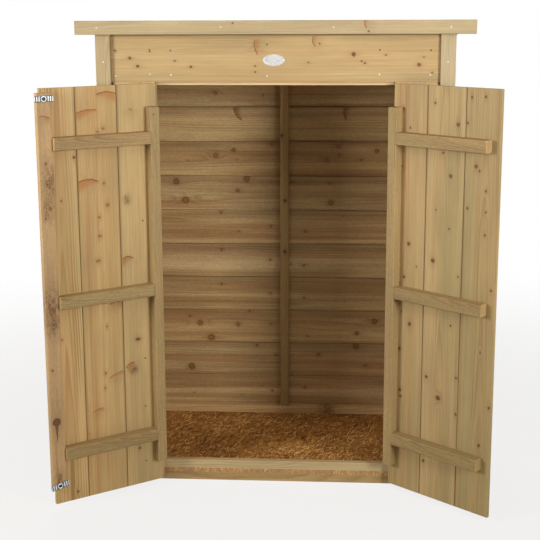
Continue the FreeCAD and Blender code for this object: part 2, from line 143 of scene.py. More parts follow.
STRAP_REACH = 0.16
HINGE_BOARD_NAILS = ((0.057, 0.463), (0.061, 0.293), (0.063, 0.096), (0.053, 0.935))
DOOR_BOARD = 0.012
BACK_POSTS = (-0.54, 0.0, 0.54)
SIDE_POSTS = (-0.245, 0.225)
FOOT_NAIL_RISE = 0.03
TOP_NAILED_BOARD = 1.42


def srgb(red, green, blue):
    """Linear colour for a colour given as screen values from 0 to 255."""
    values = []
    for value in (red, green, blue):
        share = value / 255
        values.append(share / 12.92 if share <= 0.04045 else ((share + 0.055) / 1.055) ** 2.4)
    return tuple(values)


def paint(red, green, blue):
    """Opaque linear colour, as a shader takes it."""
    return (*srgb(red, green, blue), 1.0)


def colour_setting(name, description, *colour):
    return FloatVectorProperty(
        name=name, description=description, subtype="COLOR", size=3, min=0, max=1, default=srgb(*colour),
    )


def length_setting(name, description, default, low, high):
    return FloatProperty(
        name=name, description=description, subtype="DISTANCE", default=default, min=low, max=high,
    )


def angle_setting(name, description, default):
    return FloatProperty(name=name, description=description, subtype="ANGLE", default=default)


class TimberSettings(bpy.types.PropertyGroup):
    pale: colour_setting("Sapwood", "Colour of the palest wood", 214, 184, 136)
    warm: colour_setting("Heartwood", "Colour of the warmer streaks", 198, 154, 104)
    late: colour_setting("Latewood", "Colour of the dark part of each ring", 150, 108, 62)
    knot: colour_setting("Knot", "Colour of a knot's eye", 112, 68, 20)
    resin: colour_setting("Resin", "Colour of the resinous wood around a knot", 190, 130, 74)
    tinge: colour_setting("Treatment", "Tinge that the preservative leaves", 176, 158, 108)
    arris: length_setting("Arris", "Width of the rounded edges", 0.0009, 0, 0.003)


class CladdingSettings(bpy.types.PropertyGroup):
    thickness: length_setting("Board Thickness", "Thickness of a lapped board", 0.0073, 0.004, 0.02)
    width: length_setting("Board Width", "Width of a lapped board", 0.145, 0.05, 0.3)
    pitch: length_setting("Board Pitch", "Height that each board covers", 0.133, 0.05, 0.3)
    first_top: length_setting("First Board Top", "Height of the lowest board's top edge", 0.191, 0.05, 0.5)
    wane: length_setting("Wane", "How far the sawn edges wander", 0.004, 0, 0.008)


class HardwareSettings(bpy.types.PropertyGroup):
    nail_radius: length_setting("Nail Head Radius", "Radius of a nail head", 0.0032, 0.001, 0.01)
    nail_stand: length_setting("Nail Head Height", "How far a nail head stands proud", 0.0009, 0, 0.004)
    screw_radius: length_setting("Screw Head Radius", "Radius of a hinge screw's head", 0.0036, 0.001, 0.01)
    button_length: length_setting("Button Length", "Length of a turn button", 0.062, 0.03, 0.1)
    button_width: length_setting("Button Width", "Width of a turn button", 0.019, 0.01, 0.04)
    zinc: colour_setting("Zinc", "Colour of the plated hinges", 122, 127, 130)


class StageSettings(bpy.types.PropertyGroup):
    camera: FloatVectorProperty(
        name="Camera", description="Where the camera stands", subtype="TRANSLATION",
        size=3, default=(0.1869, -3.6892, 1.6227),
    )
    yaw: angle_setting("Camera Yaw", "Turn of the camera to the left", 0.05940)
    pitch: angle_setting("Camera Pitch", "Downward tilt of the camera", 0.18615)
    roll: angle_setting("Camera Roll", "Roll of the camera", 0.00407)
    lens: FloatProperty(
        name="Lens", description="Focal length on a 36 mm sensor", subtype="DISTANCE_CAMERA",
        default=70.03, min=10, max=300,
    )
    shift: FloatProperty(
        name="Vertical Shift", description="Share of the frame that the view is shifted by",
        default=-0.1204, min=-0.5, max=0.5,
    )
    fill: FloatProperty(
        name="Fill Light", description="Strength of the light from all round", default=0.2, min=0, max=1,
    )
    floor_glow: FloatProperty(
        name="Floor Glow", description="Share of plain white in the floor beside the cabinet",
        subtype="FACTOR", default=0.8, min=0, max=1,
    )
    floor_colour: colour_setting("Floor", "Colour of the studio floor", 196, 186, 168)


class Graph:
    """Adds nodes to a tree. An input takes a socket, which is linked, or a plain value."""

    def __init__(self, tree):
        self.tree = tree

    def put(self, socket, value):
        if isinstance(value, bpy.types.NodeSocket):
            self.tree.links.new(value, socket)
        elif value is not None:
            socket.default_value = value

    def fill(self, sockets, values):
        for label, value in values.items():
            self.put(sockets[label], value)

    def node(self, kind, inputs=None, **settings):
        node = self.tree.nodes.new(kind)
        for label, value in settings.items():
            setattr(node, label, value)
        self.fill(node.inputs, inputs or {})
        return node

    def calc(self, operation, *values, clamp=False):
        inputs = dict(enumerate(values))
        return self.node("ShaderNodeMath", inputs, operation=operation, use_clamp=clamp).outputs[0]

    def add(self, first, second):
        return self.calc("ADD", first, second)

    def sub(self, first, second):
        return self.calc("SUBTRACT", first, second)

    def mul(self, product, *factors):
        for factor in factors:
            product = self.calc("MULTIPLY", product, factor)
        return product

    def div(self, first, second):
        return self.calc("DIVIDE", first, second)

    def mul_add(self, first, factor, more):
        return self.calc("MULTIPLY_ADD", first, factor, more)

    def vector(self, operation, first, second=None):
        node = self.node("ShaderNodeVectorMath", {0: first, 1: second}, operation=operation)
        return node.outputs["Value" if operation in {"LENGTH", "DOT_PRODUCT"} else "Vector"]

    def join(self, *parts):
        return self.node("ShaderNodeCombineXYZ", dict(enumerate(parts))).outputs[0]

    def split(self, vector):
        return self.node("ShaderNodeSeparateXYZ", {0: vector}).outputs

    def coordinates(self, kind):
        return self.node("ShaderNodeTexCoord").outputs[kind]

    def ramp(self, value, low, high, to_low=0.0, to_high=1.0):
        """Smooth step from to_low to to_high while the value goes from low to high."""
        inputs = {"Value": value, "From Min": low, "From Max": high, "To Min": to_low, "To Max": to_high}
        return self.node("ShaderNodeMapRange", inputs, interpolation_type="SMOOTHSTEP").outputs["Result"]

    def fade(self, value, low, high):
        return self.ramp(value, low, high, 1.0, 0.0)

    def mix(self, share, first, second, blend="MIX"):
        inputs = {"Factor": share, 6: first, 7: second}
        return self.node("ShaderNodeMix", inputs, data_type="RGBA", blend_type=blend).outputs[2]

    def tint(self, colour, filter_colour):
        return self.mix(1.0, colour, filter_colour, "MULTIPLY")

    def bell(self, value, sharpness=1.0):
        return self.calc("EXPONENT", self.mul(value, value, -sharpness))

    def grey(self, light):
        return self.node("ShaderNodeCombineColor", dict.fromkeys(range(3), light)).outputs[0]

    def noise(self, vector, stretch, detail=2.0, roughness=0.5, distortion=0.0):
        """Noise on coordinates scaled along, across and through the timber."""
        return self.node("ShaderNodeTexNoise", {
            "Vector": self.vector("MULTIPLY", vector, stretch), "Scale": 1.0, "Detail": detail,
            "Roughness": roughness, "Distortion": distortion,
        }).outputs["Fac"]

    def sway(self, vector, stretch, detail=2.0, roughness=0.5):
        """The same noise, as much below 0 as above it."""
        return self.sub(self.noise(vector, stretch, detail, roughness), 0.5)

    def cells(self, vector, scale=1.0, randomness=1.0, dimensions="3D"):
        """Cells strewn at random: what the texture puts out, and three chances for each cell."""
        inputs = {"Vector": vector, "Scale": scale, "Randomness": randomness}
        cell = self.node("ShaderNodeTexVoronoi", inputs, voronoi_dimensions=dimensions).outputs
        return cell, self.node("ShaderNodeSeparateColor", {0: cell["Color"]}).outputs


# Shared shader groups: each function below fills one, and returns what it puts out

SURFACE = ("Color", "Roughness", "Height")
KNOT_MASKS = ("Eye", "Rim", "Glow", "Flame", "Bend")
SPIKE_MASKS = ("Rim", "Glow", "Flame", "Bend")
STAIN_MASKS = ("Rim", "Stain")
WOOD_COLOURS = ("Pale", "Warm", "Late", "Knot", "Resin", "Tinge")


def seeded(graph, source):
    """Coordinates that the timber's seed moves to a place of their own."""
    start = graph.join(*(graph.mul(source["Seed"], factor) for factor in (1.37, 2.11, 0.71)))
    return graph.vector("ADD", source["Vector"], start)


def mark_offset(graph, source):
    """Distance of a point of the face from the place of a mark."""
    place = graph.join(source["Along"], source["Across"])
    return graph.vector("MULTIPLY", graph.vector("SUBTRACT", source["Vector"], place), (1.0, 1.0, 0.0))


def laid_over(graph, source, masks):
    """The masks of the marks made so far, together with those of one more."""
    return {
        label: graph.calc("ADD" if label == "Bend" else "MAXIMUM", source[label], mask)
        for label, mask in masks.items()
    }


def knot_masks(graph, offset, size, warmth, present=None):
    """Masks of a knot cut across: its eye, the bark ring round it and the grain that it bends."""
    share = graph.div(graph.vector("LENGTH", offset), size)
    reach = graph.vector("LENGTH", graph.vector("MULTIPLY", offset, (0.3, 0.62, 0.0)))
    reach = graph.div(reach, size)
    ring_strength = graph.ramp(size, 0.002, 0.009, 0.35, 1.0)
    masks = {
        "Eye": graph.fade(share, 0.65, 1.1),
        "Rim": graph.mul(graph.ramp(share, 0.45, 0.8), graph.fade(share, 0.85, 1.2), ring_strength),
        "Glow": graph.bell(reach),
        "Flame": graph.mul(graph.fade(share, 0.9, 2.1), warmth),
    }
    if present is not None:
        masks = {label: graph.mul(mask, present) for label, mask in masks.items()}
    masks["Bend"] = graph.mul(masks["Glow"], size)
    return masks


def stray_knots(graph, source):
    """Small knots strewn over a timber at random."""
    per_metre = (5.0, 13.0)
    spread = graph.vector("MULTIPLY", seeded(graph, source), (*per_metre, 0.0))
    cell, (chance, size_share, warmth) = graph.cells(spread, randomness=0.9, dimensions="2D")
    offset = graph.vector("SUBTRACT", spread, cell["Position"])
    offset = graph.vector("MULTIPLY", offset, (1 / per_metre[0], 1 / per_metre[1], 0.0))
    present = graph.calc("LESS_THAN", chance, source["Density"])
    size = graph.mul_add(graph.calc("POWER", size_share, 3.0), 0.006, 0.0017)
    return knot_masks(graph, offset, size, graph.mul(graph.calc("POWER", warmth, 2.0), 0.5), present)


def placed_knot(graph, source):
    """One round knot at a chosen place, with the dark tail that some have along the grain."""
    along, across = graph.split(mark_offset(graph, source))[:2]
    size = source["Size"]
    squashed = graph.join(along, graph.div(across, source["Stretch"]))
    masks = knot_masks(graph, squashed, size, source["Warmth"])
    down = graph.div(graph.mul(along, -1.0), size)
    width = graph.mul_add(down, -0.1, 0.55)
    tail = graph.calc("LESS_THAN", graph.calc("ABSOLUTE", graph.div(across, size)), width)
    tail = graph.mul(tail, graph.ramp(down, 0.8, 1.0), source["Tail"])
    masks["Rim"] = graph.calc("MAXIMUM", masks["Rim"], tail)
    return laid_over(graph, source, masks)


def spike_knot(graph, source):
    """One knot cut lengthwise: a resinous feather under a dark line, thick at its root."""
    turned_offset = graph.node(
        "ShaderNodeVectorRotate", {"Vector": mark_offset(graph, source), "Angle": source["Turn"]},
        rotation_type="Z_AXIS",
    ).outputs[0]
    along, across = graph.split(turned_offset)[:2]
    out = graph.div(across, source["Reach"])
    rise = graph.div(along, source["Size"])
    arch = graph.mul_add(graph.mul(out, out), -0.55, 0.5)
    under = graph.sub(arch, rise)
    thick = graph.mul_add(out, -0.9, 1.35)
    depth = graph.div(under, graph.calc("MAXIMUM", thick, 0.15))
    ends = graph.fade(graph.calc("ABSOLUTE", out), 0.8, 1.06)
    halo = graph.ramp(graph.vector("LENGTH", turned_offset), 0.0, 0.05, 0.75, 0.0)
    return laid_over(graph, source, {
        "Rim": graph.mul(graph.ramp(under, -0.16, 0.0), graph.fade(under, 0.05, 0.34), ends),
        "Glow": graph.mul(halo, graph.ramp(rise, -1.2, 0.3, 1.0, 0.35)),
        "Flame": graph.mul(graph.ramp(under, -0.04, 0.1), graph.fade(depth, 0.4, 1.4), ends),
        "Bend": graph.mul(halo, source["Size"], 0.6),
    })


def stain_patch(graph, source):
    """A dark mottled patch, as bark and damp leave on sawn timber."""
    along, across = graph.split(mark_offset(graph, source))[:2]
    along = graph.div(along, source["Size"])
    across = graph.div(across, source["Reach"])
    square = graph.mul_add(along, along, graph.mul(across, across))
    patch = graph.calc("EXPONENT", graph.mul(square, -1.0))
    mottle = graph.noise(source["Vector"], (60.0, 90.0, 90.0), 4.0, 0.7)
    fleck = graph.noise(source["Vector"], (150.0, 190.0, 190.0))
    return laid_over(graph, source, {
        "Rim": graph.mul(patch, graph.ramp(fleck, 0.57, 0.66)),
        "Stain": graph.mul(patch, graph.ramp(mottle, 0.36, 0.6, 0.3, 1.0)),
    })


def ragged_grain(graph, source):
    """Coordinates with a slight tremble, so that knots aren't perfect ovals."""
    trembles = [
        graph.mul(graph.sway(source["Vector"], stretch, 3.0), depth)
        for stretch, depth in (((70.0, 90.0, 20.0), 0.006), ((110.0, 80.0, 20.0), 0.0045))
    ]
    return {"Vector": graph.vector("ADD", source["Vector"], graph.join(*trembles))}


def sawn_softwood(graph, source):
    """Rings and fibre of sawn softwood: X runs along the grain, Y across, Z through."""
    point = seeded(graph, source)
    along, across, through = graph.split(source["Vector"])

    # Rings lie round a heart line that wanders, and cut the face in long arches
    side = graph.sub(across, source["Heart"])
    side = graph.mul_add(graph.sway(point, (1.4, 3.0, 3.0), 1.0), source["Wander"], side)
    deep = graph.add(through, source["Depth"])
    deep = graph.mul_add(graph.sway(point, (2.0, 2.0, 2.0), 1.0), source["Wander"], deep)
    square = graph.mul_add(side, side, graph.mul(deep, deep))
    radius = graph.mul_add(along, source["Slant"], graph.calc("SQRT", square))
    radius = graph.mul_add(source["Bend"], 1.1, radius)
    radius = graph.mul_add(graph.sway(point, (7.0, 70.0, 70.0)), 0.002, radius)
    ring_number = graph.div(radius, source["Spacing"])
    ring = graph.calc("FRACT", ring_number)
    season = graph.node("ShaderNodeTexNoise", {
        "W": graph.add(ring_number, source["Seed"]), "Scale": 0.31, "Detail": 2.0,
    }, noise_dimensions="1D").outputs["Fac"]
    strength = graph.noise(point, (1.8, 12.0, 12.0), 1.0)
    late = graph.mul(
        graph.ramp(ring, 0.25, 0.85), graph.fade(ring, 0.88, 1.0),
        graph.ramp(season, 0.35, 0.62, 0.2, 1.0), graph.ramp(strength, 0.3, 0.62, 0.1, 1.0),
    )

    # Fibre, streaks and blotches run with the grain, and saw marks roughen it
    fibre = graph.noise(point, (14.0, 620.0, 620.0), 3.0, 0.6)
    strand = graph.noise(point, (2.6, 190.0, 190.0), 3.0, 0.6)
    blotch = graph.noise(point, (3.0, 13.0, 13.0), 3.0)
    streak = graph.ramp(graph.noise(point, (0.8, 26.0, 26.0), 3.0, 0.6, 0.3), 0.3, 0.7)
    streak = graph.mul(graph.mul_add(season, 0.5, graph.mul(streak, 0.75)), source["Banding"])
    core = graph.mul(graph.bell(side, 1500.0), source["Heartwood"])
    tinge = graph.ramp(graph.noise(point, (1.1, 11.0, 11.0)), 0.35, 0.65)
    blush = graph.ramp(graph.noise(point, (0.7, 48.0, 48.0), 3.0, 0.55), 0.52, 0.72)
    speck = graph.ramp(graph.noise(point, (60.0, 420.0, 420.0), 1.0), 0.72, 0.8)
    rough = graph.mul(graph.sway(point, (75.0, 300.0, 300.0), 4.0, 0.65), source["Rough Sawn"])

    colour = graph.mix(graph.calc("ADD", streak, core, clamp=True), source["Pale"], source["Warm"])
    for share, strength_of_share, label in (
        (tinge, source["Tinge Amount"], "Tinge"),
        (blush, source["Blush"], "Resin"),
        (late, source["Contrast"], "Late"),
        (source["Glow"], 0.35, "Late"),
        (source["Flame"], 0.85, "Resin"),
        (speck, 0.3, "Knot"),
        (source["Eye"], 0.95, "Knot"),
        (source["Stain"], 0.85, "Knot"),
    ):
        colour = graph.mix(graph.mul(share, strength_of_share), colour, source[label])
    bark = graph.tint(source["Knot"], (0.55, 0.44, 0.3, 1.0))
    colour = graph.mix(graph.mul(source["Rim"], 0.75), colour, bark)

    # A board is dark and stained along its joints, and takes painted shade along its top, under the board that
    # laps it
    # On the header, the darkening along its high edge is a painted shadow under the fascia
    low = graph.calc("ABSOLUTE", graph.sub(across, source["Low Edge"]))
    high = graph.calc("ABSOLUTE", graph.sub(across, source["High Edge"]))
    near = graph.calc("MINIMUM", low, high)
    seep = graph.mul_add(graph.sub(strength, 0.5), 0.012, near)
    colour = graph.mix(graph.ramp(seep, 0.0005, 0.006, 0.5, 0.0), colour, source["Late"])
    edge_wander = graph.mul(graph.noise(point, (2.4, 6.0, 6.0)), 0.06)
    below_top = graph.add(graph.sub(source["High Edge"], across), edge_wander)
    shade = graph.mul(graph.fade(below_top, 0.03, 0.1), source["Top Shade"])
    colour = graph.mix(shade, colour, graph.tint(colour, (0.42, 0.36, 0.28, 1.0)))

    # End faces are darker end grain where the end setting is below 0, and carry a painted highlight where it is
    # above 0
    light = graph.mul(
        graph.mul_add(fibre, 0.4, 0.8), graph.mul_add(strand, 0.5, 0.75), graph.mul_add(blotch, 0.5, 0.75),
        graph.add(rough, 1.0), graph.mul_add(source["End Grain"], source["End Light"], 1.0),
        graph.ramp(near, 0.0003, 0.0014, 0.25, 1.0),
    )
    relief = graph.mul_add(late, 0.25, graph.mul(fibre, 0.6))
    relief = graph.mul_add(rough, 0.8, relief)
    return {
        "Color": graph.tint(graph.tint(colour, graph.grey(light)), source["Tone"]),
        "Roughness": graph.sub(graph.mul_add(fibre, 0.22, 0.6), graph.mul(source["Eye"], 0.16)),
        "Height": graph.mul_add(source["Rim"], -0.4, relief),
    }


# Layers of strands: turn, cells per metre along and across, and the share of cells that shows
STRAND_LAYERS = (
    (0.1, 17.0, 115.0, 1.0), (1.2, 23.0, 170.0, 0.5), (-0.7, 20.0, 145.0, 0.45), (0.55, 28.0, 205.0, 0.42),
    (-0.25, 21.0, 155.0, 0.4), (1.75, 31.0, 230.0, 0.36), (-1.1, 38.0, 300.0, 0.3),
)


def pressed_strands(graph, source):
    """Pressed wood strands in several directions, laid over one another."""
    point = source["Vector"]
    ripples = [graph.mul(graph.noise(point, (scale, 31.0, 31.0)), 0.02) for scale in (26.0, 35.0)]
    bent = graph.vector("ADD", point, graph.join(*ripples))
    tone = relief = None
    for index, (turn, along, across, share) in enumerate(STRAND_LAYERS):
        layer = graph.node("ShaderNodeMapping", {
            "Vector": bent, "Rotation": (0.0, 0.0, turn), "Location": (0.31 * index, 0.17 * index, 0.0),
        }).outputs[0]
        cell, chances = graph.cells(graph.vector("MULTIPLY", layer, (along, across, 60.0)))
        strand = graph.mul(chances[0], graph.ramp(cell["Distance"], 0.2, 0.8, 1.0, 0.6))
        if tone is None:
            tone = relief = strand
            continue
        shown = graph.calc("LESS_THAN", chances[1], share)
        tone = graph.node("ShaderNodeMix", {0: shown, 2: tone, 3: strand}).outputs[0]
        relief = graph.mul_add(shown, 0.3, relief)
    tone = graph.mul_add(graph.sway(point, (300.0, 420.0, 300.0), 3.0), 0.5, tone)
    tone = graph.mul_add(graph.sway(point, (5.0, 5.0, 5.0)), 0.5, tone)
    colour = graph.mix(graph.ramp(tone, -0.05, 0.45), source["Dark"], source["Middle"])
    return {
        "Color": graph.mix(graph.ramp(tone, 0.5, 0.95), colour, source["Light"]),
        "Roughness": graph.mul_add(tone, 0.2, 0.55),
        "Height": relief,
    }


def mineral_granules(graph, source):
    """Stone granules bedded in bitumen."""
    cell, chances = graph.cells(source["Vector"], 720.0)
    grain = graph.fade(cell["Distance"], 0.2, 0.6)
    patch = graph.noise(source["Vector"], (3.0, 3.0, 3.0), 3.0)
    share = graph.mul(grain, graph.mul_add(chances[0], 0.8, 0.2))
    share = graph.calc("MULTIPLY", share, graph.mul_add(patch, 0.8, 0.6), clamp=True)
    return {
        "Color": graph.mix(share, source["Bitumen"], source["Grit"]),
        "Roughness": graph.mul_add(share, 0.2, 0.75),
        "Height": grain,
    }


def zinc_plating(graph, source):
    """Spangle and fine scuffs of a plated surface."""
    cell, chances = graph.cells(source["Vector"], 260.0)
    scuff = graph.noise(source["Vector"], (900.0, 260.0, 900.0), 3.0)
    shade = graph.mul(graph.mul_add(chances[0], 0.3, 0.7), graph.mul_add(scuff, 0.3, 0.85))
    return {
        "Color": graph.tint(source["Plate"], graph.grey(shade)),
        "Roughness": graph.mul_add(scuff, 0.3, 0.3),
        "Height": scuff,
    }


def mark_numbers(masks, **numbers):
    """Numbers that go into a mark: its place, its own values and the masks made before it."""
    return {"Along": 0.0, "Across": 0.0, "Size": 0.005, **numbers, **dict.fromkeys(masks, 0.0)}


WOOD_NUMBERS = {
    "Seed": 0.0, "Heart": 0.02, "Depth": 0.05, "Spacing": 0.0032, "Slant": 0.012, "Wander": 0.02,
    "Contrast": 0.4, "Heartwood": 0.0, "Banding": 0.5, "Blush": 0.1, "Tinge Amount": 0.25,
    "Rough Sawn": 0.0, "Low Edge": -9.0, "High Edge": 9.0, "Top Shade": 0.0, "End Grain": 0.0,
    "End Light": -0.15, **dict.fromkeys((*KNOT_MASKS, "Stain"), 0.0),
}
# Each group's function, its numbers with their defaults, its colours and what it puts out
GROUPS = {
    "Ragged grain": (ragged_grain, {}, (), ("Vector",)),
    "Stray knots": (stray_knots, {"Seed": 0.0, "Density": 0.3}, (), KNOT_MASKS),
    "Placed knot": (
        placed_knot, mark_numbers(KNOT_MASKS, Stretch=1.0, Warmth=0.0, Tail=0.0), (), KNOT_MASKS,
    ),
    "Spike knot": (spike_knot, mark_numbers(SPIKE_MASKS, Reach=0.03, Turn=0.0), (), SPIKE_MASKS),
    "Stain patch": (stain_patch, mark_numbers(STAIN_MASKS, Reach=0.03), (), STAIN_MASKS),
    "Sawn softwood": (sawn_softwood, WOOD_NUMBERS, ("Tone", *WOOD_COLOURS), SURFACE),
    "Pressed strands": (pressed_strands, {}, ("Light", "Middle", "Dark"), SURFACE),
    "Mineral granules": (mineral_granules, {}, ("Grit", "Bitumen"), SURFACE),
    "Zinc plating": (zinc_plating, {}, ("Plate",), SURFACE),
}
SOCKET_KINDS = {"Vector": "NodeSocketVector", "Color": "NodeSocketColor"}
# Each kind of mark: its group, and what its values stand for after the two distances
MARKS = {
    "knot": ("Placed knot", ("Size", "Warmth", "Stretch", "Tail")),
    "spike": ("Spike knot", ("Size", "Reach", "Turn")),
    "stain": ("Stain patch", ("Size", "Reach")),
}
LENGTHS = {"Size", "Reach"}


def build_group(name):
    """Make a shared group from its row in GROUPS."""
    fill, numbers, colours, outputs = GROUPS[name]
    tree = bpy.data.node_groups.new(name, "ShaderNodeTree")
    tree.interface.new_socket(name="Vector", in_out="INPUT", socket_type="NodeSocketVector")
    for label, default in numbers.items():
        socket = tree.interface.new_socket(name=label, in_out="INPUT", socket_type="NodeSocketFloat")
        socket.default_value = default
    for label in colours:
        tree.interface.new_socket(name=label, in_out="INPUT", socket_type="NodeSocketColor")
    for label in outputs:
        kind = SOCKET_KINDS.get(label, "NodeSocketFloat")
        tree.interface.new_socket(name=label, in_out="OUTPUT", socket_type=kind)
    graph = Graph(tree)
    values = fill(graph, tree.nodes.new("NodeGroupInput").outputs)
    graph.fill(tree.nodes.new("NodeGroupOutput").inputs, values)


def add_group(graph, name, inputs):
    """Place a shared group in a material, made the first time it is asked for."""
    if name not in bpy.data.node_groups:
        build_group(name)
    group = graph.node("ShaderNodeGroup", node_tree=bpy.data.node_groups[name])
    graph.fill(group.inputs, inputs)
    return group


def surface_material(
    name, group_name, inputs, centre=(0, 0, 0), lie=FLAT, metallic=0.0, bump=0.3, bump_depth=0.0006,
):
    """Material whose colour, roughness and relief come from one of the shared groups.

    It gives back the material, its graph and the group in it.
    """
    material = bpy.data.materials.new(name)
    material.use_nodes = True
    graph = Graph(material.node_tree)
    place = graph.node("ShaderNodeMapping", {
        "Vector": graph.coordinates("Object"), "Location": centre, "Rotation": lie.to_euler(),
    }, vector_type="TEXTURE")
    group = add_group(graph, group_name, {"Vector": place.outputs[0], **inputs})
    relief = graph.node("ShaderNodeBump", {
        "Strength": bump, "Distance": bump_depth, "Height": group.outputs["Height"],
    })
    graph.fill(graph.tree.nodes["Principled BSDF"].inputs, {
        "Base Color": group.outputs["Color"], "Roughness": group.outputs["Roughness"],
        "Metallic": metallic, "Normal": relief.outputs[0],
    })
    return material, graph, group


def softwood(name, centre, lie, seed, marks=None, strays=0.3, tone=1.0, **looks):
    """Softwood for one timber, with its own rings, marks and tone.

    A mark is its distances along and across the grain, and then the values that MARKS names
    for its kind, with every length in mm.
    """
    settings = bpy.context.scene.cabinet_timber
    inputs = {label: (*getattr(settings, label.lower()), 1.0) for label in WOOD_COLOURS}
    inputs["Tone"] = (*tone, 1.0) if isinstance(tone, tuple) else (tone, tone, tone, 1.0)
    inputs["Seed"] = seed
    inputs.update({label.replace("_", " ").title(): value for label, value in looks.items()})
    material, graph, group = surface_material(name, "Sawn softwood", inputs, centre, lie)
    placed = group.inputs["Vector"].links[0].from_socket
    ragged = add_group(graph, "Ragged grain", {"Vector": placed}).outputs["Vector"]
    strewn = add_group(graph, "Stray knots", {"Vector": ragged, "Seed": seed, "Density": strays})
    masks = dict(strewn.outputs.items())
    for kind, places in (marks or {}).items():
        group_name, labels = MARKS[kind]
        for along, across, *values in places:
            mark = {label: masks.get(label) for label in GROUPS[group_name][-1]}
            mark.update({"Vector": ragged, "Along": along / 1000, "Across": across / 1000})
            for label, value in zip(labels, values):
                mark[label] = value / 1000 if label in LENGTHS else value
            masks.update(add_group(graph, group_name, mark).outputs.items())
    graph.fill(group.inputs, masks)
    facing = graph.vector("DOT_PRODUCT", graph.coordinates("Normal"), tuple(lie.col[0]))
    graph.put(group.inputs["End Grain"], graph.ramp(graph.calc("ABSOLUTE", facing), 0.7, 0.9))
    return material


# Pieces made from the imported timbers

def node_centre(node):
    low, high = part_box(node)
    return (Vector(low) + Vector(high)) / 2


def finish_piece(mesh_data, name, node_or_body, materials, replaces=()):
    """Object for a finished mesh, riding on its body."""
    piece = bpy.data.objects.new(name, mesh_data)
    bpy.context.scene.collection.objects.link(piece)
    for material in materials:
        mesh_data.materials.append(material)
    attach(piece, BODIES.get(node_or_body, node_or_body))
    if replaces:
        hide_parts(*replaces)
    return piece


def keep_mesh(work, name):
    """Mesh made of the faces at hand."""
    mesh_data = bpy.data.meshes.new(name + "_mesh")
    work.to_mesh(mesh_data)
    work.free()
    return mesh_data


def ease_edges(work, edges, arris, segments=2):
    """Round the sharp ones among some edges."""
    sharp = [edge for edge in edges if len(edge.link_faces) == 2 and edge.calc_face_angle() > SHARP_TURN]
    bmesh.ops.bevel(
        work, geom=sharp, offset=arris, offset_type="OFFSET", segments=segments, profile=0.5,
        affect="EDGES", clamp_overlap=True, material=-1,
    )


def eased_copy(node, arris, segments=2):
    """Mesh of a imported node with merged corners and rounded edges."""
    mesh_data = frame["nodes"][node].data.copy()
    mesh_data.materials.clear()
    work = bmesh.new()
    work.from_mesh(mesh_data)
    bmesh.ops.remove_doubles(work, verts=work.verts, dist=1e-5)
    bmesh.ops.dissolve_limit(
        work, angle_limit=math.radians(1), verts=work.verts, edges=work.edges, delimit=set()
    )
    ease_edges(work, work.edges, arris, segments)
    bmesh.ops.recalc_face_normals(work, faces=work.faces)
    for face in work.faces:
        face.smooth = False
    packed_normals = mesh_data.attributes.get("custom_normal")
    if packed_normals:
        mesh_data.attributes.remove(packed_normals)
    work.to_mesh(mesh_data)
    work.free()
    mesh_data.name = node + "_mesh"
    return mesh_data


def dress_node(node, name, material, arris, segments=2):
    """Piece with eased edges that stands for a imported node."""
    return finish_piece(eased_copy(node, arris, segments), name, node, [material], [node])


def dress_timber(node, lie, seed, centre=None, **looks):
    centre = node_centre(node) if centre is None else centre
    material = softwood(node + "_wood", centre, lie, seed, **looks)
    arris = bpy.context.scene.cabinet_timber.arris
    return dress_node(node, node + "_timber", material, arris)


def turned(lie, angle):
    return Matrix.Rotation(angle, 3, "Z") @ lie


def hinge_foot(side):
    """Foot of a door's hinge line, from which the marks on its boards are measured."""
    foot = Vector(JOINTS[side + "_door_hinge"]["pos_m"])
    foot.z = 0.0
    return foot


# Marks of the door boards, the lapped boards of the back wall, the header and the fascia

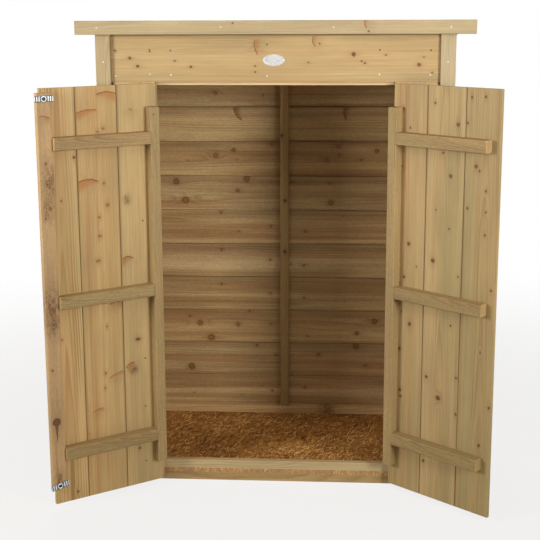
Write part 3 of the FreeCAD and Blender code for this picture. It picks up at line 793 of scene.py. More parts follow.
DOOR_MARKS = {
    "meeting_stile": dict(
        knot=((485, 392, 3.6, 0.3), (1152, 385, 3.6, 0.2), (980, 393, 3), (310, 386, 13, 0.15, 1, 1)),
        spike=((1296, 383, 6, 18, 0.2),),
        stain=(
            (1085, 374, 70, 22), (1010, 380, 40, 18), (690, 384, 75, 30), (640, 384, 45, 26),
            (110, 384, 30, 14),
        ),
    ),
    "left_door_meeting_board": dict(
        knot=((1162, 286, 5.1), (1027, 333, 3.2), (574, 350, 3.3), (44, 316, 4.6)),
    ),
    "left_door_middle_board": dict(
        knot=(
            (1237, 204, 3.8, 0.3, 1.4), (1247, 186, 3.8, 0.3, 1.4), (1071, 189, 4.5, 0.3),
            (999, 179, 5.9, 0.5), (962, 209, 3.6, 0.3, 1.4), (900, 209, 4.6, 0.3, 1.3),
            (819, 218, 4.6, 0.3, 1.8), (595, 195, 3.4, 0.3), (435, 205, 4.1, 0.2), (384, 208, 3.8, 0.3),
            (196, 205, 3.2, 0.4),
        ),
        spike=(
            (1303, 241, 12, -36, -0.12), (1080, 243, 17, -38, 0), (1356, 172, 14, 34, 0),
            (669, 160, 9, 26, 0), (425, 168, 6, 28, -0.35), (314, 236, 6, 20, -0.25),
        ),
    ),
    "left_door_hinge_board": dict(
        knot=((533, 86, 4.9, 0.5, 2), (147, 91, 4.3, 0.5)),
        spike=((815, 114, 13, -20, 0), (449, 116, 11, -18, -0.5), (1303, 91, 5, 7, 0)),
        stain=((1009, 112, 16, 12), (430, 104, 18, 14)),
    ),
    "right_door_hinge_board": dict(
        knot=(
            (1305, -40, 3.5), (1244, -67, 3.5, 0.2), (1119, -39, 3.2, 0.2), (867, -70, 5.9, 0.9),
            (754, -55, 5.4, 0.1), (733, -37, 4.4, 0.1), (635, -47, 4.1, 0, 0.6), (507, -40, 6.2, 0.3),
            (363, -47, 5.6, 0.2), (342, -50, 4.9, 0.1),
        ),
    ),
    "right_door_middle_board": dict(
        knot=(
            (1329, -159, 3.7), (1267, -243, 6.7, 0.1), (1176, -192, 3.8, 0.5), (1105, -221, 6.6),
            (992, -170, 2.9), (937, -221, 3.5, 0.2), (826, -164, 7.2, 0.4), (788, -258, 3.2),
            (625, -236, 3.9), (434, -150, 4.8, 0, 1.4), (455, -262, 4), (372, -196, 8.1, 0.2),
            (334, -264, 4.4), (140, -146, 5.3, 0.1),
        ),
    ),
    "right_door_meeting_board": dict(
        knot=(
            (1353, -288, 4.2, 0.1), (1357, -336, 4.5, 0.2), (1274, -276, 4.3, 0.6),
            (1144, -310, 5.5, 0.6), (1131, -323, 4), (1071, -347, 3.7, 0.3), (1011, -284, 4.1),
            (1007, -349, 3.4, 0.6), (935, -349, 3.7, 0.2), (764, -376, 3.8, 0.1),
            (560, -346, 4.8, 0.3, 0.5), (253, -352, 5.3), (386, -383, 4.9),
        ),
    ),
}
# By the number of the board, from the bottom
BACK_MARKS = {
    1: dict(
        knot=((-43, 4, 5.1), (86, 20, 5.1)),
    ),
    2: dict(
        knot=(
            (-103, 59, 5.9), (-364, -33, 12.7, 0.3), (287, 61, 11.6, 0.2), (140, 24, 7.8, 0.1),
            (324, -20, 5.1), (-28, 20, 4.7),
        ),
    ),
    3: dict(
        knot=(
            (-131, 68, 5.8, 0.1), (-327, 15, 10.2, 0.7), (-177, 10, 6.3, 0.5, 1.4),
            (-284, -45, 12.6, 0.5), (-45, 13, 4.7), (96, -36, 5.1), (358, 30, 10.8, 0.3),
            (290, -20, 7.7, 0.2), (-366, 42, 5.1, 0.2),
        ),
    ),
    4: dict(
        knot=((-239, 41, 5.1, 0.2), (-49, 5, 4.3), (83, -12, 4.3)),
    ),
    5: dict(
        knot=((-239, 47, 6.2), (-49, 7, 5), (82, -14, 5)),
    ),
    6: dict(
        knot=((-238, 60, 6.2), (-46, 8, 5.7), (88, -13, 5.7)),
    ),
    7: dict(
        knot=(
            (-138, 60, 9.9, 0.8, 1.2), (-410, 48, 11.5, 0.3), (-376, -25, 13.1, 0.3),
            (-173, 13, 6.9, 0.6), (177, 45, 5.3, 0.1), (185, -32, 9.8, 0.8),
        ),
    ),
    8: dict(
        knot=(
            (-40, 62, 8.3, 0, 1.2), (-256, 17, 9.1, 0.3), (-187, 37, 7.6, 0.6), (212, 53, 7.5, 0.2),
            (168, 0, 8.3, 0.3), (358, 36, 9, 0.2), (216, 19, 6, 0.3), (299, 1, 5.2, 0.3),
        ),
    ),
    9: dict(
        spike=((-172, 42, 13, 30, 2.6), (236, 44, 11, 28, 3)),
    ),
    10: dict(
        knot=((-255, -11, 7.5, 0.3), (-74, -20, 4.5)),
    ),
}
HEADER_MARKS = dict(
    knot=(
        (-514, 9, 2.6), (-403, 7, 2.6), (-469, -13, 4.5, 0.8), (-322, -22, 3), (-443, -39, 5, 0.2),
        (-270, -41, 4.4, 0.2), (-62, -39, 3), (-62, -58, 3), (146, 32, 3), (255, -2, 7, 0.2),
        (111, -28, 3), (281, -24, 3), (291, -30, 3.4), (357, -4, 3), (478, -10, 2.6),
        (463, -35, 5.5, 0.8), (505, -60, 3),
    ),
    spike=((-59, 20, 9, 26, 2.95), (127, 39, 7, 18, 2.95)),
)
FASCIA_MARKS = dict(
    knot=((-130, 14, 3), (300, -13, 3)),
    spike=((290, 8, 6, 14, 2.9),),
)

# Looks of each timber

POST = dict(tone=0.8, rough_sawn=0.4)
JAMB = dict(tone=(0.76, 0.75, 0.69), strays=0.3, banding=0.3, rough_sawn=0.3)
# Timbers of the frame by the way they lie, with the step from one seed to the next
FRAME_TIMBERS = (
    (LEVEL, 1.9, {
        "front_bottom_rail": dict(
            tone=(0.76, 0.8, 0.8), tinge_amount=0.5, strays=0.1, end_light=0.0, banding=0.3,
        ),
        "door_head_rail": dict(tone=0.9, strays=0.1),
        "front_head_plate": dict(tone=0.85),
        "back_bottom_rail": dict(
            tone=(0.98, 0.96, 0.9), banding=0.8, strays=0.3, rough_sawn=0.5,
            marks=dict(stain=((173, 2, 34, 30),)),
        ),
        "back_top_rail": dict(tone=0.8),
    }),
    (UPRIGHT, 1.7, {
        "left_front_post": POST, "right_front_post": POST, "left_door_jamb": JAMB, "right_door_jamb": JAMB,
        "left_rear_post": POST, "right_rear_post": POST,
        "back_centre_batten": dict(
            tone=(0.6, 0.55, 0.4), banding=0.6, tinge_amount=0.6, strays=0.1, rough_sawn=0.6,
            marks=dict(knot=((370, -9, 6, 0.4), (120, 2, 6, 0.2), (-80, 2, 7, 0.4))),
        ),
    }),
    (DEEP, 2.3, {
        "left_side_bottom_rail": POST, "right_side_bottom_rail": POST, "left_side_top_rail": POST,
        "right_side_top_rail": POST, "roof_rafter": POST,
    }),
)
TRIM_TONES = {"left": (0.59, 0.62, 0.64), "right": (0.72, 0.77, 0.88)}
LEDGE_TONES = {"left": (0.56, 0.54, 0.44), "right": (0.5, 0.48, 0.38)}
# Joints between a door's boards, measured from its hinge line
LEFT_JOINTS = (0.138, 0.277)
RIGHT_JOINTS = (-0.1315, -0.2705)
DOOR_BOARDS = {
    "left": {
        "meeting": dict(
            heart=0.335, depth=0.012, spacing=0.0065, slant=0.02, heartwood=0.6, banding=0.2, blush=0.6,
            tinge_amount=0.45, contrast=0.8, low_edge=LEFT_JOINTS[1], tone=(0.931, 0.9, 0.764),
        ),
        "middle": dict(
            heart=0.2, depth=0.06, spacing=0.0028, slant=0.002, banding=0.5, blush=0.55, tinge_amount=0.25,
            contrast=0.3, wander=0.01, low_edge=LEFT_JOINTS[0], high_edge=LEFT_JOINTS[1],
            tone=(0.812, 0.77, 0.627), knot=paint(156, 108, 52),
        ),
        "hinge": dict(
            heart=0.0, depth=0.09, spacing=0.003, slant=0.002, banding=0.15, blush=0.1, tinge_amount=0.5,
            contrast=0.25, high_edge=LEFT_JOINTS[0], tone=(0.714, 0.694, 0.578),
        ),
    },
    "right": {
        "hinge": dict(
            heart=-0.04, depth=0.03, spacing=0.0036, slant=0.004, heartwood=0.2, banding=0.5, blush=0.3,
            tinge_amount=0.35, contrast=0.5, low_edge=RIGHT_JOINTS[0], tone=(0.643, 0.632, 0.542),
        ),
        "middle": dict(
            heart=-0.2, depth=0.014, spacing=0.0048, slant=0.016, heartwood=0.25, banding=0.4, blush=0.3,
            tinge_amount=0.65, contrast=0.55, low_edge=RIGHT_JOINTS[1], high_edge=RIGHT_JOINTS[0],
            tone=(0.693, 0.7, 0.617),
        ),
        "meeting": dict(
            heart=-0.345, depth=0.03, spacing=0.004, slant=0.01, heartwood=0.2, banding=0.5, blush=0.25,
            tinge_amount=0.45, contrast=0.55, high_edge=RIGHT_JOINTS[1], tone=(0.627, 0.65, 0.567),
        ),
    },
}
# Lapped boards take painted shade along their tops, under the board that laps them
LAPPED_BOARDS = dict(
    banding=1.1, contrast=0.42, blush=0.1, tinge_amount=0.3, top_shade=0.42, strays=0.1, rough_sawn=0.9,
    wander=0.04, warm=paint(168, 126, 82), late=paint(124, 88, 52), resin=paint(148, 100, 52),
    knot=paint(140, 96, 50),
)
# Shades that the lapped boards take in turn
BOARD_SHADES = (
    dict(tone=(1.0, 1.04, 1.015), heart=0.0, depth=0.012, spacing=0.009, slant=0.003),
    dict(tone=(1.019, 1.04, 0.994), heart=0.03, depth=0.02, spacing=0.007, slant=0.004),
    dict(tone=(0.96, 0.988, 0.95), heart=-0.02, depth=0.01, spacing=0.01, slant=0.003),
    dict(tone=(1.009, 1.019, 0.94), heart=0.01, depth=0.03, spacing=0.006, slant=0.003),
    dict(tone=(0.96, 0.988, 0.907), heart=-0.04, depth=0.02, spacing=0.008, slant=0.005),
)


def strand_board(name, light, middle, dark, **relief):
    inputs = {"Light": light, "Middle": middle, "Dark": dark}
    return surface_material(name, "Pressed strands", inputs, bump=0.4, **relief)


class CABINET_OT_floor(bpy.types.Operator):
    """Dress the bearers and the strand-board floor"""
    bl_idname = "cabinet.floor"
    bl_label = "Floor"

    def execute(self, context):
        dress_timber(
            "floor_bearers", LEVEL, 3.1, tone=(0.592, 0.568, 0.444), strays=0.2, depth=0.07,
            tinge_amount=0.5, rough_sawn=0.5,
        )
        board, graph, group = strand_board(
            "strand_board", paint(224, 180, 108), paint(164, 110, 46), paint(88, 50, 15), bump_depth=0.0008
        )
        # The sawn edges are paler than the faces
        facing_up = graph.calc("ABSOLUTE", graph.split(graph.coordinates("Normal"))[2])
        edge = graph.mix(
            graph.ramp(facing_up, 0.3, 0.7, 0.5, 0.0), group.outputs["Color"], paint(180, 144, 100)
        )
        graph.put(graph.tree.nodes["Principled BSDF"].inputs["Base Color"], edge)
        dress_node("floor_board", "floor_strand_board", board, 0.0004, 1)
        return {"FINISHED"}


class CABINET_OT_frame(bpy.types.Operator):
    """Dress the posts, rails, jambs and battens of the frame"""
    bl_idname = "cabinet.frame"
    bl_label = "Frame"

    def execute(self, context):
        seed = 11.0
        for lie, step, timbers in FRAME_TIMBERS:
            for node, looks in timbers.items():
                dress_timber(node, lie, seed, **looks)
                seed += step
        return {"FINISHED"}


class CABINET_OT_front(bpy.types.Operator):
    """Dress the header, the fixed boards, the corner trims and the fascia"""
    bl_idname = "cabinet.front"
    bl_label = "Front Boards"

    def execute(self, context):
        # The header's high edge draws a painted shadow line under the fascia
        dress_timber(
            "header_board", LEVEL, 42.0, tone=(0.669, 0.676, 0.595), heart=0.03, depth=0.03, slant=0.004,
            banding=0.6, blush=0.35, tinge_amount=0.2, strays=0.02,
            high_edge=HEADER_FASCIA_SHADOW, marks=HEADER_MARKS,
        )
        dress_timber(
            "front_fascia", LEVEL, 47.0, tone=(0.679, 0.709, 0.763), banding=0.25, contrast=0.25,
            tinge_amount=0.5, strays=0.02, rough_sawn=0.15, marks=FASCIA_MARKS,
        )
        dress_timber("fascia_batten", LEVEL, 48.0, **POST)
        for side, seed in (("left", 51.0), ("right", 55.5)):
            dress_timber(
                side + "_front_board", UPRIGHT, seed, tone=(0.791, 0.773, 0.718), strays=0.4, blush=0.2
            )
            dress_timber(
                side + "_corner_trim", UPRIGHT, seed + 1.3, tone=TRIM_TONES[side], banding=0.2,
                contrast=0.3, tinge_amount=0.35, strays=0.02,
            )
        return {"FINISHED"}


class CABINET_OT_doors(bpy.types.Operator):
    """Dress the boards, ledges and battens of both doors"""
    bl_idname = "cabinet.doors"
    bl_label = "Doors"

    def execute(self, context):
        seed = 70.0
        for side in SIDES:
            upright = turned(UPRIGHT, DOOR_TURNS[side])
            level = turned(LEVEL, DOOR_TURNS[side])
            for label, looks in DOOR_BOARDS[side].items():
                node = side + "_door_" + label + "_board"
                dress_timber(
                    node, upright, seed, hinge_foot(side), marks=DOOR_MARKS[node], strays=0.04, **looks
                )
                seed += 3.7
            for label in ("upper", "middle", "lower"):
                # Ledge ends carry a painted highlight, as if lit from the right front
                dress_timber(
                    side + "_door_" + label + "_ledge", level, seed, tone=LEDGE_TONES[side], banding=0.6,
                    contrast=0.5, slant=0.06, spacing=0.0045, tinge_amount=0.45, strays=0.15,
                    rough_sawn=0.95, end_light=0.28,
                )
                seed += 2.9
            dress_timber(
                side + "_door_hinge_batten", upright, seed, tone=LEDGE_TONES[side], banding=0.3,
                contrast=0.25, tinge_amount=0.3, strays=0.12, rough_sawn=0.8,
            )
            seed += 1.3
        dress_timber(
            "meeting_stile", turned(UPRIGHT, DOOR_TURNS["left"]), seed, hinge_foot("left"),
            tone=(0.725, 0.676, 0.608), banding=0.3, blush=0.3, contrast=0.2, tinge_amount=0.0,
            heart=0.3, depth=0.08, wander=0.005, rough_sawn=0.7, strays=0.1,
            marks=DOOR_MARKS["meeting_stile"], warm=paint(196, 148, 106),
        )
        return {"FINISHED"}


def lapped_board(work, layer, mark, length, top, bottom):
    """One board lying along X, its head on the frame at Y = 0 and its foot leaning out."""
    settings = bpy.context.scene.cabinet_cladding
    thickness, height = settings.thickness, top - bottom
    verts = bmesh.ops.create_cube(work, size=1.0)["verts"]
    bmesh.ops.scale(work, vec=(length, thickness, height), verts=verts)
    long_edges = [
        edge for edge in work.edges
        if edge.verts[0] in verts and abs(edge.verts[0].co.x - edge.verts[1].co.x) > length / 2
    ]
    bmesh.ops.subdivide_edges(work, edges=long_edges, cuts=EDGE_CUTS, use_grid_fill=True)
    faces = [face for face in work.faces if face[layer] == 0]
    for vert in {vert for face in faces for vert in face.verts}:
        place = Vector((vert.co.x * WANE_RATE, mark * WANE_STEP, vert.co.z > 0))
        wander = noise.noise(place) * 0.5 + 0.5
        vert.co.z -= math.copysign(wander * settings.wane, vert.co.z)
    ease_edges(work, list({edge for face in faces for edge in face.edges}), BOARD_ARRIS)
    faces = [face for face in work.faces if face[layer] == 0]
    for vert in {vert for face in faces for vert in face.verts}:
        vert.co.y += thickness / 2 + (height / 2 - vert.co.z) * BOARD_LEAN / settings.pitch
        vert.co.z += (top + bottom) / 2
    for face in faces:
        face[layer] = mark


def roof_plane():
    """A point on the deck's underside and the direction that points up through it."""
    low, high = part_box("roof_deck")
    point = Vector((0, low[1], high[2] - DECK_THICKNESS / math.cos(ROOF_SLOPE)))
    return point, Vector((0, math.sin(ROOF_SLOPE), math.cos(ROOF_SLOPE)))


def lapped_wall(wall, node, lie, low_x, high_x, place, shades, marks=None):
    """Wall of lapped boards that stands for a packed cladding node."""
    name = wall + "_wall_boards"
    settings = bpy.context.scene.cabinet_cladding
    low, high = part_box(node)
    work = bmesh.new()
    layer = work.faces.layers.int.new("board")
    top, bottom = settings.first_top, low[2]
    tops = [top]
    while bottom < high[2] - LEAST_BOARD:
        lapped_board(work, layer, len(tops), high_x - low_x, top, bottom)
        tops.append(top)
        top += settings.pitch
        bottom = top - settings.width
    bmesh.ops.translate(work, vec=((low_x + high_x) / 2, 0, 0), verts=work.verts)
    bmesh.ops.transform(work, matrix=place, verts=work.verts)
    point, normal = roof_plane()
    cut = bmesh.ops.bisect_plane(
        work, geom=work.verts[:] + work.edges[:] + work.faces[:], plane_co=point, plane_no=normal,
        clear_outer=True,
    )
    rims = [item for item in cut["geom_cut"] if isinstance(item, bmesh.types.BMEdge)]
    bmesh.ops.holes_fill(work, edges=rims)
    bmesh.ops.recalc_face_normals(work, faces=work.faces)
    for face in work.faces:
        face.material_index = face[layer]
        face.smooth = False
    mesh_data = keep_mesh(work, name)
    centre = node_centre(node)
    materials = []
    for index, board_top in enumerate(tops):
        centre.z = board_top - settings.width / 2
        looks = {"high_edge": settings.width / 2, **LAPPED_BOARDS, **shades[index % len(shades)]}
        looks["marks"] = (marks or {}).get(index)
        materials.append(softwood(f"{name}_wood_{index}", centre, lie, 101.0 + 7.3 * index, **looks))
    return finish_piece(mesh_data, name, node, materials, [node])


class CABINET_OT_cladding(bpy.types.Operator):
    """Lay the lapped boards on the sides and the back"""
    bl_idname = "cabinet.cladding"
    bl_label = "Cladding"

    def execute(self, context):
        low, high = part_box("back_cladding")
        place = Matrix.Translation((0, low[1], 0))
        lapped_wall("back", "back_cladding", LEVEL, low[0], high[0], place, BOARD_SHADES, BACK_MARKS)
        low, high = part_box("left_side_cladding")
        place = Matrix.Translation((high[0], 0, 0)) @ Matrix.Rotation(math.pi / 2, 4, "Z")
        lapped_wall("left", "left_side_cladding", DEEP, low[1], high[1], place, BOARD_SHADES[1:])
        low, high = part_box("right_side_cladding")
        place = Matrix.Translation((low[0], 0, 0)) @ Matrix.Rotation(-math.pi / 2, 4, "Z")
        lapped_wall("right", "right_side_cladding", DEEP, -high[1], -low[1], place, BOARD_SHADES[2:])
        return {"FINISHED"}


class CABINET_OT_roof(bpy.types.Operator):
    """Dress the roof deck and its felt"""
    bl_idname = "cabinet.roof"
    bl_label = "Roof"

    def execute(self, context):
        deck = strand_board(
            "roof_strand_board", paint(220, 176, 114), paint(186, 134, 76), paint(120, 76, 34)
        )
        dress_node("roof_deck", "roof_deck_board", deck[0], 0.0004, 1)
        felt = surface_material(
            "mineral_felt", "Mineral granules", {"Grit": paint(104, 110, 100), "Bitumen": paint(34, 36, 34)},
            bump=0.6, bump_depth=0.0008,
        )
        dress_node("roof_felt", "roof_felt_sheet", felt[0], 0.0007)
        return {"FINISHED"}


def nail_heads(name, node, places, material, radius, stand):
    """Flat heads with a shallow dish, each at a point and facing along a direction."""
    work = bmesh.new()
    for point, facing in places:
        facing = Vector(facing)
        turn = facing.to_track_quat("Z", "Y").to_matrix().to_4x4()
        place = Matrix.Translation(Vector(point) + facing * (stand / 2 - HEAD_SUNK)) @ turn
        made = bmesh.ops.create_cone(
            work, cap_ends=True, segments=HEAD_SIDES, radius1=radius, radius2=radius * HEAD_TAPER,
            depth=stand + 2 * HEAD_SUNK, matrix=place,
        )
        top = max(
            {face for vert in made["verts"] for face in vert.link_faces if len(face.verts) > 4},
            key=lambda face: face.calc_center_median().dot(facing),
        )
        bmesh.ops.inset_region(
            work, faces=[top], thickness=radius * HEAD_DISH, depth=-stand * HEAD_DISH
        )
    bmesh.ops.recalc_face_normals(work, faces=work.faces)
    return finish_piece(keep_mesh(work, name), name, node, [material])


def nails(name, node, places, material):
    """Nail heads of the set size."""
    settings = bpy.context.scene.cabinet_hardware
    return nail_heads(name, node, places, material, settings.nail_radius, settings.nail_stand)


def front_places(node, spots):
    """Points across and up, on the front face of a node."""
    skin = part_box(node)[0][1]
    return [((x, skin, z), (0, -1, 0)) for x, z in spots]


def cladding_places():
    """Places near the foot of each lapped board, over the posts behind."""
    settings = bpy.context.scene.cabinet_cladding
    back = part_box("back_cladding")[0][1]
    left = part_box("left_side_cladding")[1][0]
    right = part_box("right_side_cladding")[0][0]
    places = []
    top = settings.first_top
    while top < TOP_NAILED_BOARD:
        height = top - settings.width + FOOT_NAIL_RISE
        out = settings.thickness + (top - height) * BOARD_LEAN / settings.pitch
        places += [((x, back + out, height), (0, 1, 0)) for x in BACK_POSTS]
        for y in SIDE_POSTS:
            places += [((left - out, y, height), (-1, 0, 0)), ((right + out, y, height), (1, 0, 0))]
        top += settings.pitch
    return places


def door_places(side, spots, depth, out):
    """Points given on a shut door, turned with it to the rest pose."""
    hinge = Vector(JOINTS[side + "_door_hinge"]["pos_m"])
    turn = Matrix.Rotation(DOOR_TURNS[side], 3, "Z")
    sign = 1 if side == "left" else -1
    facing = turn @ Vector((0, out, 0))
    places = []
    for across, height in spots:
        point = turn @ Vector((sign * (HINGE_TO_EDGE + across), depth - hinge.y, 0))
        places.append(((hinge.x + point.x, hinge.y + point.y, height), facing))
    return places


def door_nails(side, skin):
    """Nails through a door's boards into its ledges, none under its straps or its turn button."""
    middle = LEDGE_NAIL_HEIGHTS[1]
    spots = [
        (across, height) for across in LEDGE_NAILS_ACROSS for height in LEDGE_NAIL_HEIGHTS
        if across > STRAP_REACH or height == middle
    ]
    if side == "right":
        return door_places(side, spots, skin, -1)
    spots.remove((LEDGE_NAILS_ACROSS[-1], middle))
    return door_places(side, spots, skin, -1) + door_places(side, HINGE_BOARD_NAILS, skin + DOOR_BOARD, 1)


def hinge_screws(side, skin):
    """Screw places over the holes of a door's straps and of its frame plates."""
    leaf = skin - HINGE_LEAF
    low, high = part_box(side + "_hinge_straps")
    middles = (low[2] + STRAP_HALF, high[2] - STRAP_HALF)
    quarter = (middles[0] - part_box(side + "_hinge_frame_plates")[0][2]) / 2
    x = JOINTS[side + "_door_hinge"]["pos_m"][0]
    x += math.copysign(PLATE_HOLES_OUT, x)
    plates = [
        ((x, leaf, height + shift), (0, -1, 0)) for height in middles for shift in (-quarter, quarter)
    ]
    spots = [(across, height) for across in STRAP_HOLES for height in middles]
    return {"strap": door_places(side, spots, leaf, -1), "plate": plates}


def plated(name, colour, metallic, bump=0.1, bump_depth=0.0002):
    """Plated metal of one colour."""
    return surface_material(
        name, "Zinc plating", {"Plate": colour}, metallic=metallic, bump=bump, bump_depth=bump_depth
    )[0]


def pressed_zinc():
    """Zinc with a painted highlight on the ridges of a pressed plate and painted shade between them."""
    material, graph, group = surface_material(
        "pressed_zinc", "Zinc plating", {}, metallic=0.8, bump=0.1, bump_depth=0.0002
    )
    ridge = graph.node("ShaderNodeAttribute", attribute_name="ridge").outputs["Fac"]
    # The ridge share paints highlights on the ridges and shade in the hollows
    graph.put(group.inputs["Plate"], graph.mix(ridge, paint(84, 88, 90), paint(228, 230, 230)))
    return material


def ridge_share(x, y):
    """How far a point of the pressed button rises from its hollows, 0 to 1."""
    share = math.exp(-((math.hypot(x, y) - RING_RADIUS) / RING_WIDTH) ** 2)
    side = min(1.0, max(0.0, (RIB_HALF_LENGTH - abs(y)) / RIB_END))
    for centre, width in RIBS:
        share = max(share, side * math.exp(-((abs(x) - centre) / width) ** 4))
    return share


def pressed_point(x, y, length, width):
    """Place of a point of the plate once its corners and its hole are round, and its ridge."""
    over = Vector((abs(x) - length / 2, abs(y) - width / 2)) + Vector((BUTTON_CORNER, BUTTON_CORNER))
    if min(over) > 0 and over.length > BUTTON_CORNER:
        over *= BUTTON_CORNER / over.length
        x = math.copysign(length / 2 - BUTTON_CORNER + over.x, x)
        y = math.copysign(width / 2 - BUTTON_CORNER + over.y, y)
    off = math.hypot(x, y)
    if 0 < off < HOLE_REACH:
        stretch = (HOLE_RADIUS + off * HOLE_STRETCH) / off
        x, y = x * stretch, y * stretch
    share = ridge_share(x, y)
    rise = RING_RISE if math.hypot(x, y) < RING_REACH else RIB_RISE
    return (x, y, BUTTON_FLOOR + share * rise), share


def pressed_button(node, joint, tilt, material):
    """Turn button pressed from plate, with ribs across it and a ring round its pivot."""
    settings = bpy.context.scene.cabinet_hardware
    length, width = settings.button_length, settings.button_width
    work = bmesh.new()
    across, up = BUTTON_GRID
    bmesh.ops.create_grid(work, x_segments=across, y_segments=up, size=0.5)
    bmesh.ops.scale(work, vec=(length, width, 1), verts=work.verts)
    hub = [face for face in work.faces if face.calc_center_median().length < HUB_REACH]
    bmesh.ops.delete(work, geom=hub, context="FACES")
    # The ridge share kept here also sets the zinc's painted highlight and shade
    layer = work.verts.layers.float.new("ridge")
    for vert in work.verts:
        vert.co, vert[layer] = pressed_point(vert.co.x, vert.co.y, length, width)
    extruded = bmesh.ops.extrude_face_region(work, geom=work.faces[:])
    for item in extruded["geom"]:
        if isinstance(item, bmesh.types.BMVert):
            item.co.z = 0.0
            item[layer] = 0.0
    bmesh.ops.recalc_face_normals(work, faces=work.faces)
    for face in work.faces:
        face.smooth = True
    normal = Vector(JOINTS[joint]["axis"])
    along = Vector((normal.y, -normal.x, 0))
    pivot = Vector(JOINTS[joint]["pos_m"])
    back = min(vert.co.dot(normal) for vert in frame["nodes"][node].data.vertices)
    pivot += normal * (back - pivot.dot(normal))
    turn = Matrix((along, normal.cross(along), normal)).transposed().to_4x4()
    place = Matrix.Translation(pivot) @ turn @ Matrix.Rotation(tilt, 4, "Z")
    bmesh.ops.transform(work, matrix=place, verts=work.verts)
    return finish_piece(keep_mesh(work, node), node + "_zinc", node, [material], [node])


class CABINET_OT_hardware(bpy.types.Operator):
    """Dress the hinges, pins, turn buttons, screws and badge"""
    bl_idname = "cabinet.hardware"
    bl_label = "Hardware"

    def execute(self, context):
        settings = context.scene.cabinet_hardware
        zinc = plated("bright_zinc", (*settings.zinc, 1.0), 1.0)
        dark = plated("black_screw", paint(48, 46, 44), 0.6)
        screw_zinc = plated("screw_zinc", paint(168, 170, 170), 0.8)
        silver = plated("silver_badge", paint(206, 204, 200), 0.85, 0.05, 0.0001)
        steel = plated("nail_steel", paint(208, 200, 186), 0.3)
        rusty = plated("weathered_steel", paint(104, 80, 58), 0.3)

        nails("header_nails", "header_board", front_places("header_board", HEADER_NAILS), rusty)
        places = front_places("header_board", HEADER_FOOT_NAILS)
        places += front_places("left_corner_trim", TRIM_NAILS)
        places += front_places("front_fascia", FASCIA_NAILS)
        places += front_places("header_board", FRONT_BOARD_NAILS)
        nails("front_nails", "header_board", places, steel)
        nails("cladding_nails", "header_board", cladding_places(), rusty)
        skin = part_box("header_board")[0][1]
        for side in SIDES:
            nails(side + "_door_nails", side + "_door_hinge_board", door_nails(side, skin), rusty)
        for side in SIDES:
            for part, arris in (("straps", 0.0003), ("frame_plates", 0.0003), ("pins", 0.0002)):
                node = f"{side}_hinge_{part}"
                dress_node(node, node + "_zinc", zinc, arris, 1)
            nodes = {"strap": side + "_hinge_straps", "plate": side + "_hinge_frame_plates"}
            for label, places in hinge_screws(side, skin).items():
                nail_heads(
                    f"{side}_{label}_screws", nodes[label], places, screw_zinc,
                    settings.screw_radius, SCREW_STAND,
                )
        pressed = pressed_zinc()
        for place, tilt in (("upper", 0), ("lower", 10), ("outer", 90)):
            pressed_button(place + "_turn_button", place + "_button_turn", math.radians(tilt), pressed)
        dress_node("turn_button_screws", "turn_button_screws_dark", dark, 0.0002, 1)
        dress_node("badge_plate", "badge_plate_silver", silver, 0.0004)
        return {"FINISHED"}


# Lamps: place, what they point at, size, watts and the spread of their light in degrees
LAMPS = {
    "right_softbox": ((2.15, -2.6, 1.62), (0, -0.3, 1.5), (0.7, 1.0), 29.5, 107),
    "left_softbox": ((-2.55, -2.05, 1.7), (0, -0.3, 1.5), (0.8, 1.0), 28.5, 107),
    "front_softbox": ((0.3, -2.9, 3.9), (0, -0.3, 1.2), (2.4, 1.4), 18, 180),
    "rear_softbox": ((-1.0, 3.4, 2.2), (0, 0.25, 0.7), (1.6, 1.2), 38, 150),
}
WHITE = (1, 1, 1, 1)
FLOOR_RADIUS = 14.0
SENSOR_WIDTH = 36


def aim_light(name, place, target, size, power, spread):
    light = bpy.data.lights.new(name, "AREA")
    light.shape = "RECTANGLE"
    light.size, light.size_y = size
    light.energy = power
    light.spread = math.radians(spread)
    lamp = bpy.data.objects.new(name, light)
    bpy.context.scene.collection.objects.link(lamp)
    lamp.location = place
    lamp.rotation_euler = (Vector(target) - Vector(place)).to_track_quat("-Z", "Y").to_euler()
    return lamp


def seen_directly(graph):
    """1 where a camera, glossy or transmission ray sees the surface."""
    path = graph.node("ShaderNodeLightPath").outputs
    seen = graph.calc("MAXIMUM", path["Is Camera Ray"], path["Is Glossy Ray"])
    return graph.calc("MAXIMUM", seen, path["Is Transmission Ray"])


def floor_material(settings):
    """Pale matt floor that a camera sees as white, the more so the farther out."""
    material = bpy.data.materials.new("studio_floor")
    material.use_nodes = True
    graph = Graph(material.node_tree)
    shader = graph.tree.nodes["Principled BSDF"]
    graph.fill(shader.inputs, {"Base Color": (*settings.floor_colour, 1.0), "Roughness": 0.9})
    shine = graph.node("ShaderNodeEmission", {"Strength": 1.0})
    far = graph.vector("LENGTH", graph.coordinates("Object"))
    glow = graph.mul(graph.ramp(far, 0.9, 3.2, settings.floor_glow, 1.0), seen_directly(graph))
    blend = graph.node("ShaderNodeMixShader", {0: glow, 1: shader.outputs[0], 2: shine.outputs[0]})
    graph.put(graph.tree.nodes["Material Output"].inputs["Surface"], blend.outputs[0])
    return material


def light_world(settings):
    """World that lights softly from all round and is seen as plain white."""
    world = bpy.data.worlds.new("studio_world")
    bpy.context.scene.world = world
    world.use_nodes = True
    graph = Graph(world.node_tree)
    graph.tree.nodes.clear()
    soft, white = (
        graph.node("ShaderNodeBackground", {"Color": WHITE, "Strength": strength}).outputs[0]
        for strength in (settings.fill, 1.0)
    )
    blend = graph.node("ShaderNodeMixShader", {0: seen_directly(graph), 1: soft, 2: white})
    graph.node("ShaderNodeOutputWorld", {"Surface": blend.outputs[0]})


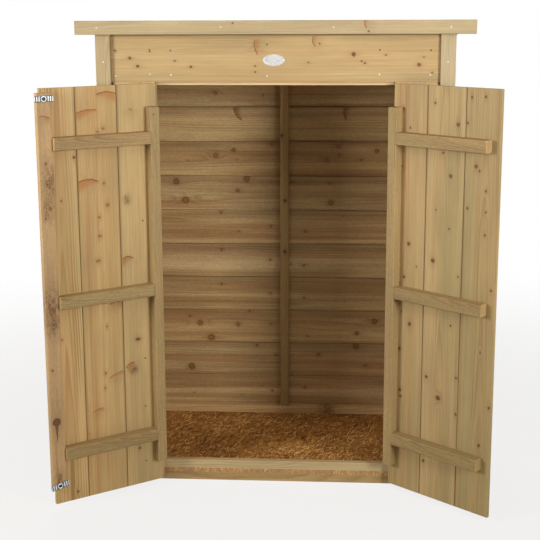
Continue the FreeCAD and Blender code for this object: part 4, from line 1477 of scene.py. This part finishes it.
class CABINET_OT_stage(bpy.types.Operator):
    """Set the floor, the lamps, the world and the camera"""
    bl_idname = "cabinet.stage"
    bl_label = "Stage"

    def execute(self, context):
        scene = context.scene
        settings = scene.cabinet_stage
        work = bmesh.new()
        bmesh.ops.create_circle(work, cap_ends=True, segments=64, radius=FLOOR_RADIUS)
        floor = bpy.data.objects.new("studio_floor", keep_mesh(work, "studio_floor"))
        scene.collection.objects.link(floor)
        floor.data.materials.append(floor_material(settings))
        light_world(settings)
        for name, lamp in LAMPS.items():
            aim_light(name, *lamp)
        bpy.data.objects["rear_softbox"].visible_camera = False

        camera_data = bpy.data.cameras.new("photo_camera")
        camera_data.sensor_width = SENSOR_WIDTH
        camera_data.lens = settings.lens
        camera_data.shift_y = settings.shift
        camera = bpy.data.objects.new("photo_camera", camera_data)
        scene.collection.objects.link(camera)
        camera.location = settings.camera
        look = Matrix.Rotation(settings.yaw, 4, "Z") @ Matrix.Rotation(math.pi / 2 - settings.pitch, 4, "X")
        camera.rotation_euler = (look @ Matrix.Rotation(-settings.roll, 4, "Z")).to_euler()
        scene.camera = camera
        scene.view_settings.view_transform = "Standard"
        return {"FINISHED"}


class CABINET_PT_panel(bpy.types.Panel):
    """Lists the steps that dress the cabinet"""
    bl_idname = "CABINET_PT_panel"
    bl_label = "Garden Storage Cabinet"
    bl_space_type = "VIEW_3D"
    bl_region_type = "UI"
    bl_category = "Cabinet"

    def draw(self, context):
        for operator in OPERATORS:
            self.layout.operator(operator.bl_idname)


SETTINGS = {
    "cabinet_timber": TimberSettings,
    "cabinet_cladding": CladdingSettings,
    "cabinet_hardware": HardwareSettings,
    "cabinet_stage": StageSettings,
}
OPERATORS = (
    CABINET_OT_floor,
    CABINET_OT_frame,
    CABINET_OT_front,
    CABINET_OT_doors,
    CABINET_OT_cladding,
    CABINET_OT_roof,
    CABINET_OT_hardware,
    CABINET_OT_stage,
)
CLASSES = (*SETTINGS.values(), *OPERATORS, CABINET_PT_panel)


def register():
    for cls in CLASSES:
        bpy.utils.register_class(cls)
    for name, cls in SETTINGS.items():
        setattr(bpy.types.Scene, name, PointerProperty(type=cls))


def unregister():
    for name in SETTINGS:
        delattr(bpy.types.Scene, name)
    for cls in reversed(CLASSES):
        bpy.utils.unregister_class(cls)


def main():
    register()
    bpy.ops.cabinet.floor()
    bpy.ops.cabinet.frame()
    bpy.ops.cabinet.front()
    bpy.ops.cabinet.doors()
    bpy.ops.cabinet.cladding()
    bpy.ops.cabinet.roof()
    bpy.ops.cabinet.hardware()
    bpy.ops.cabinet.stage()


if __name__ == "__main__":
    main()
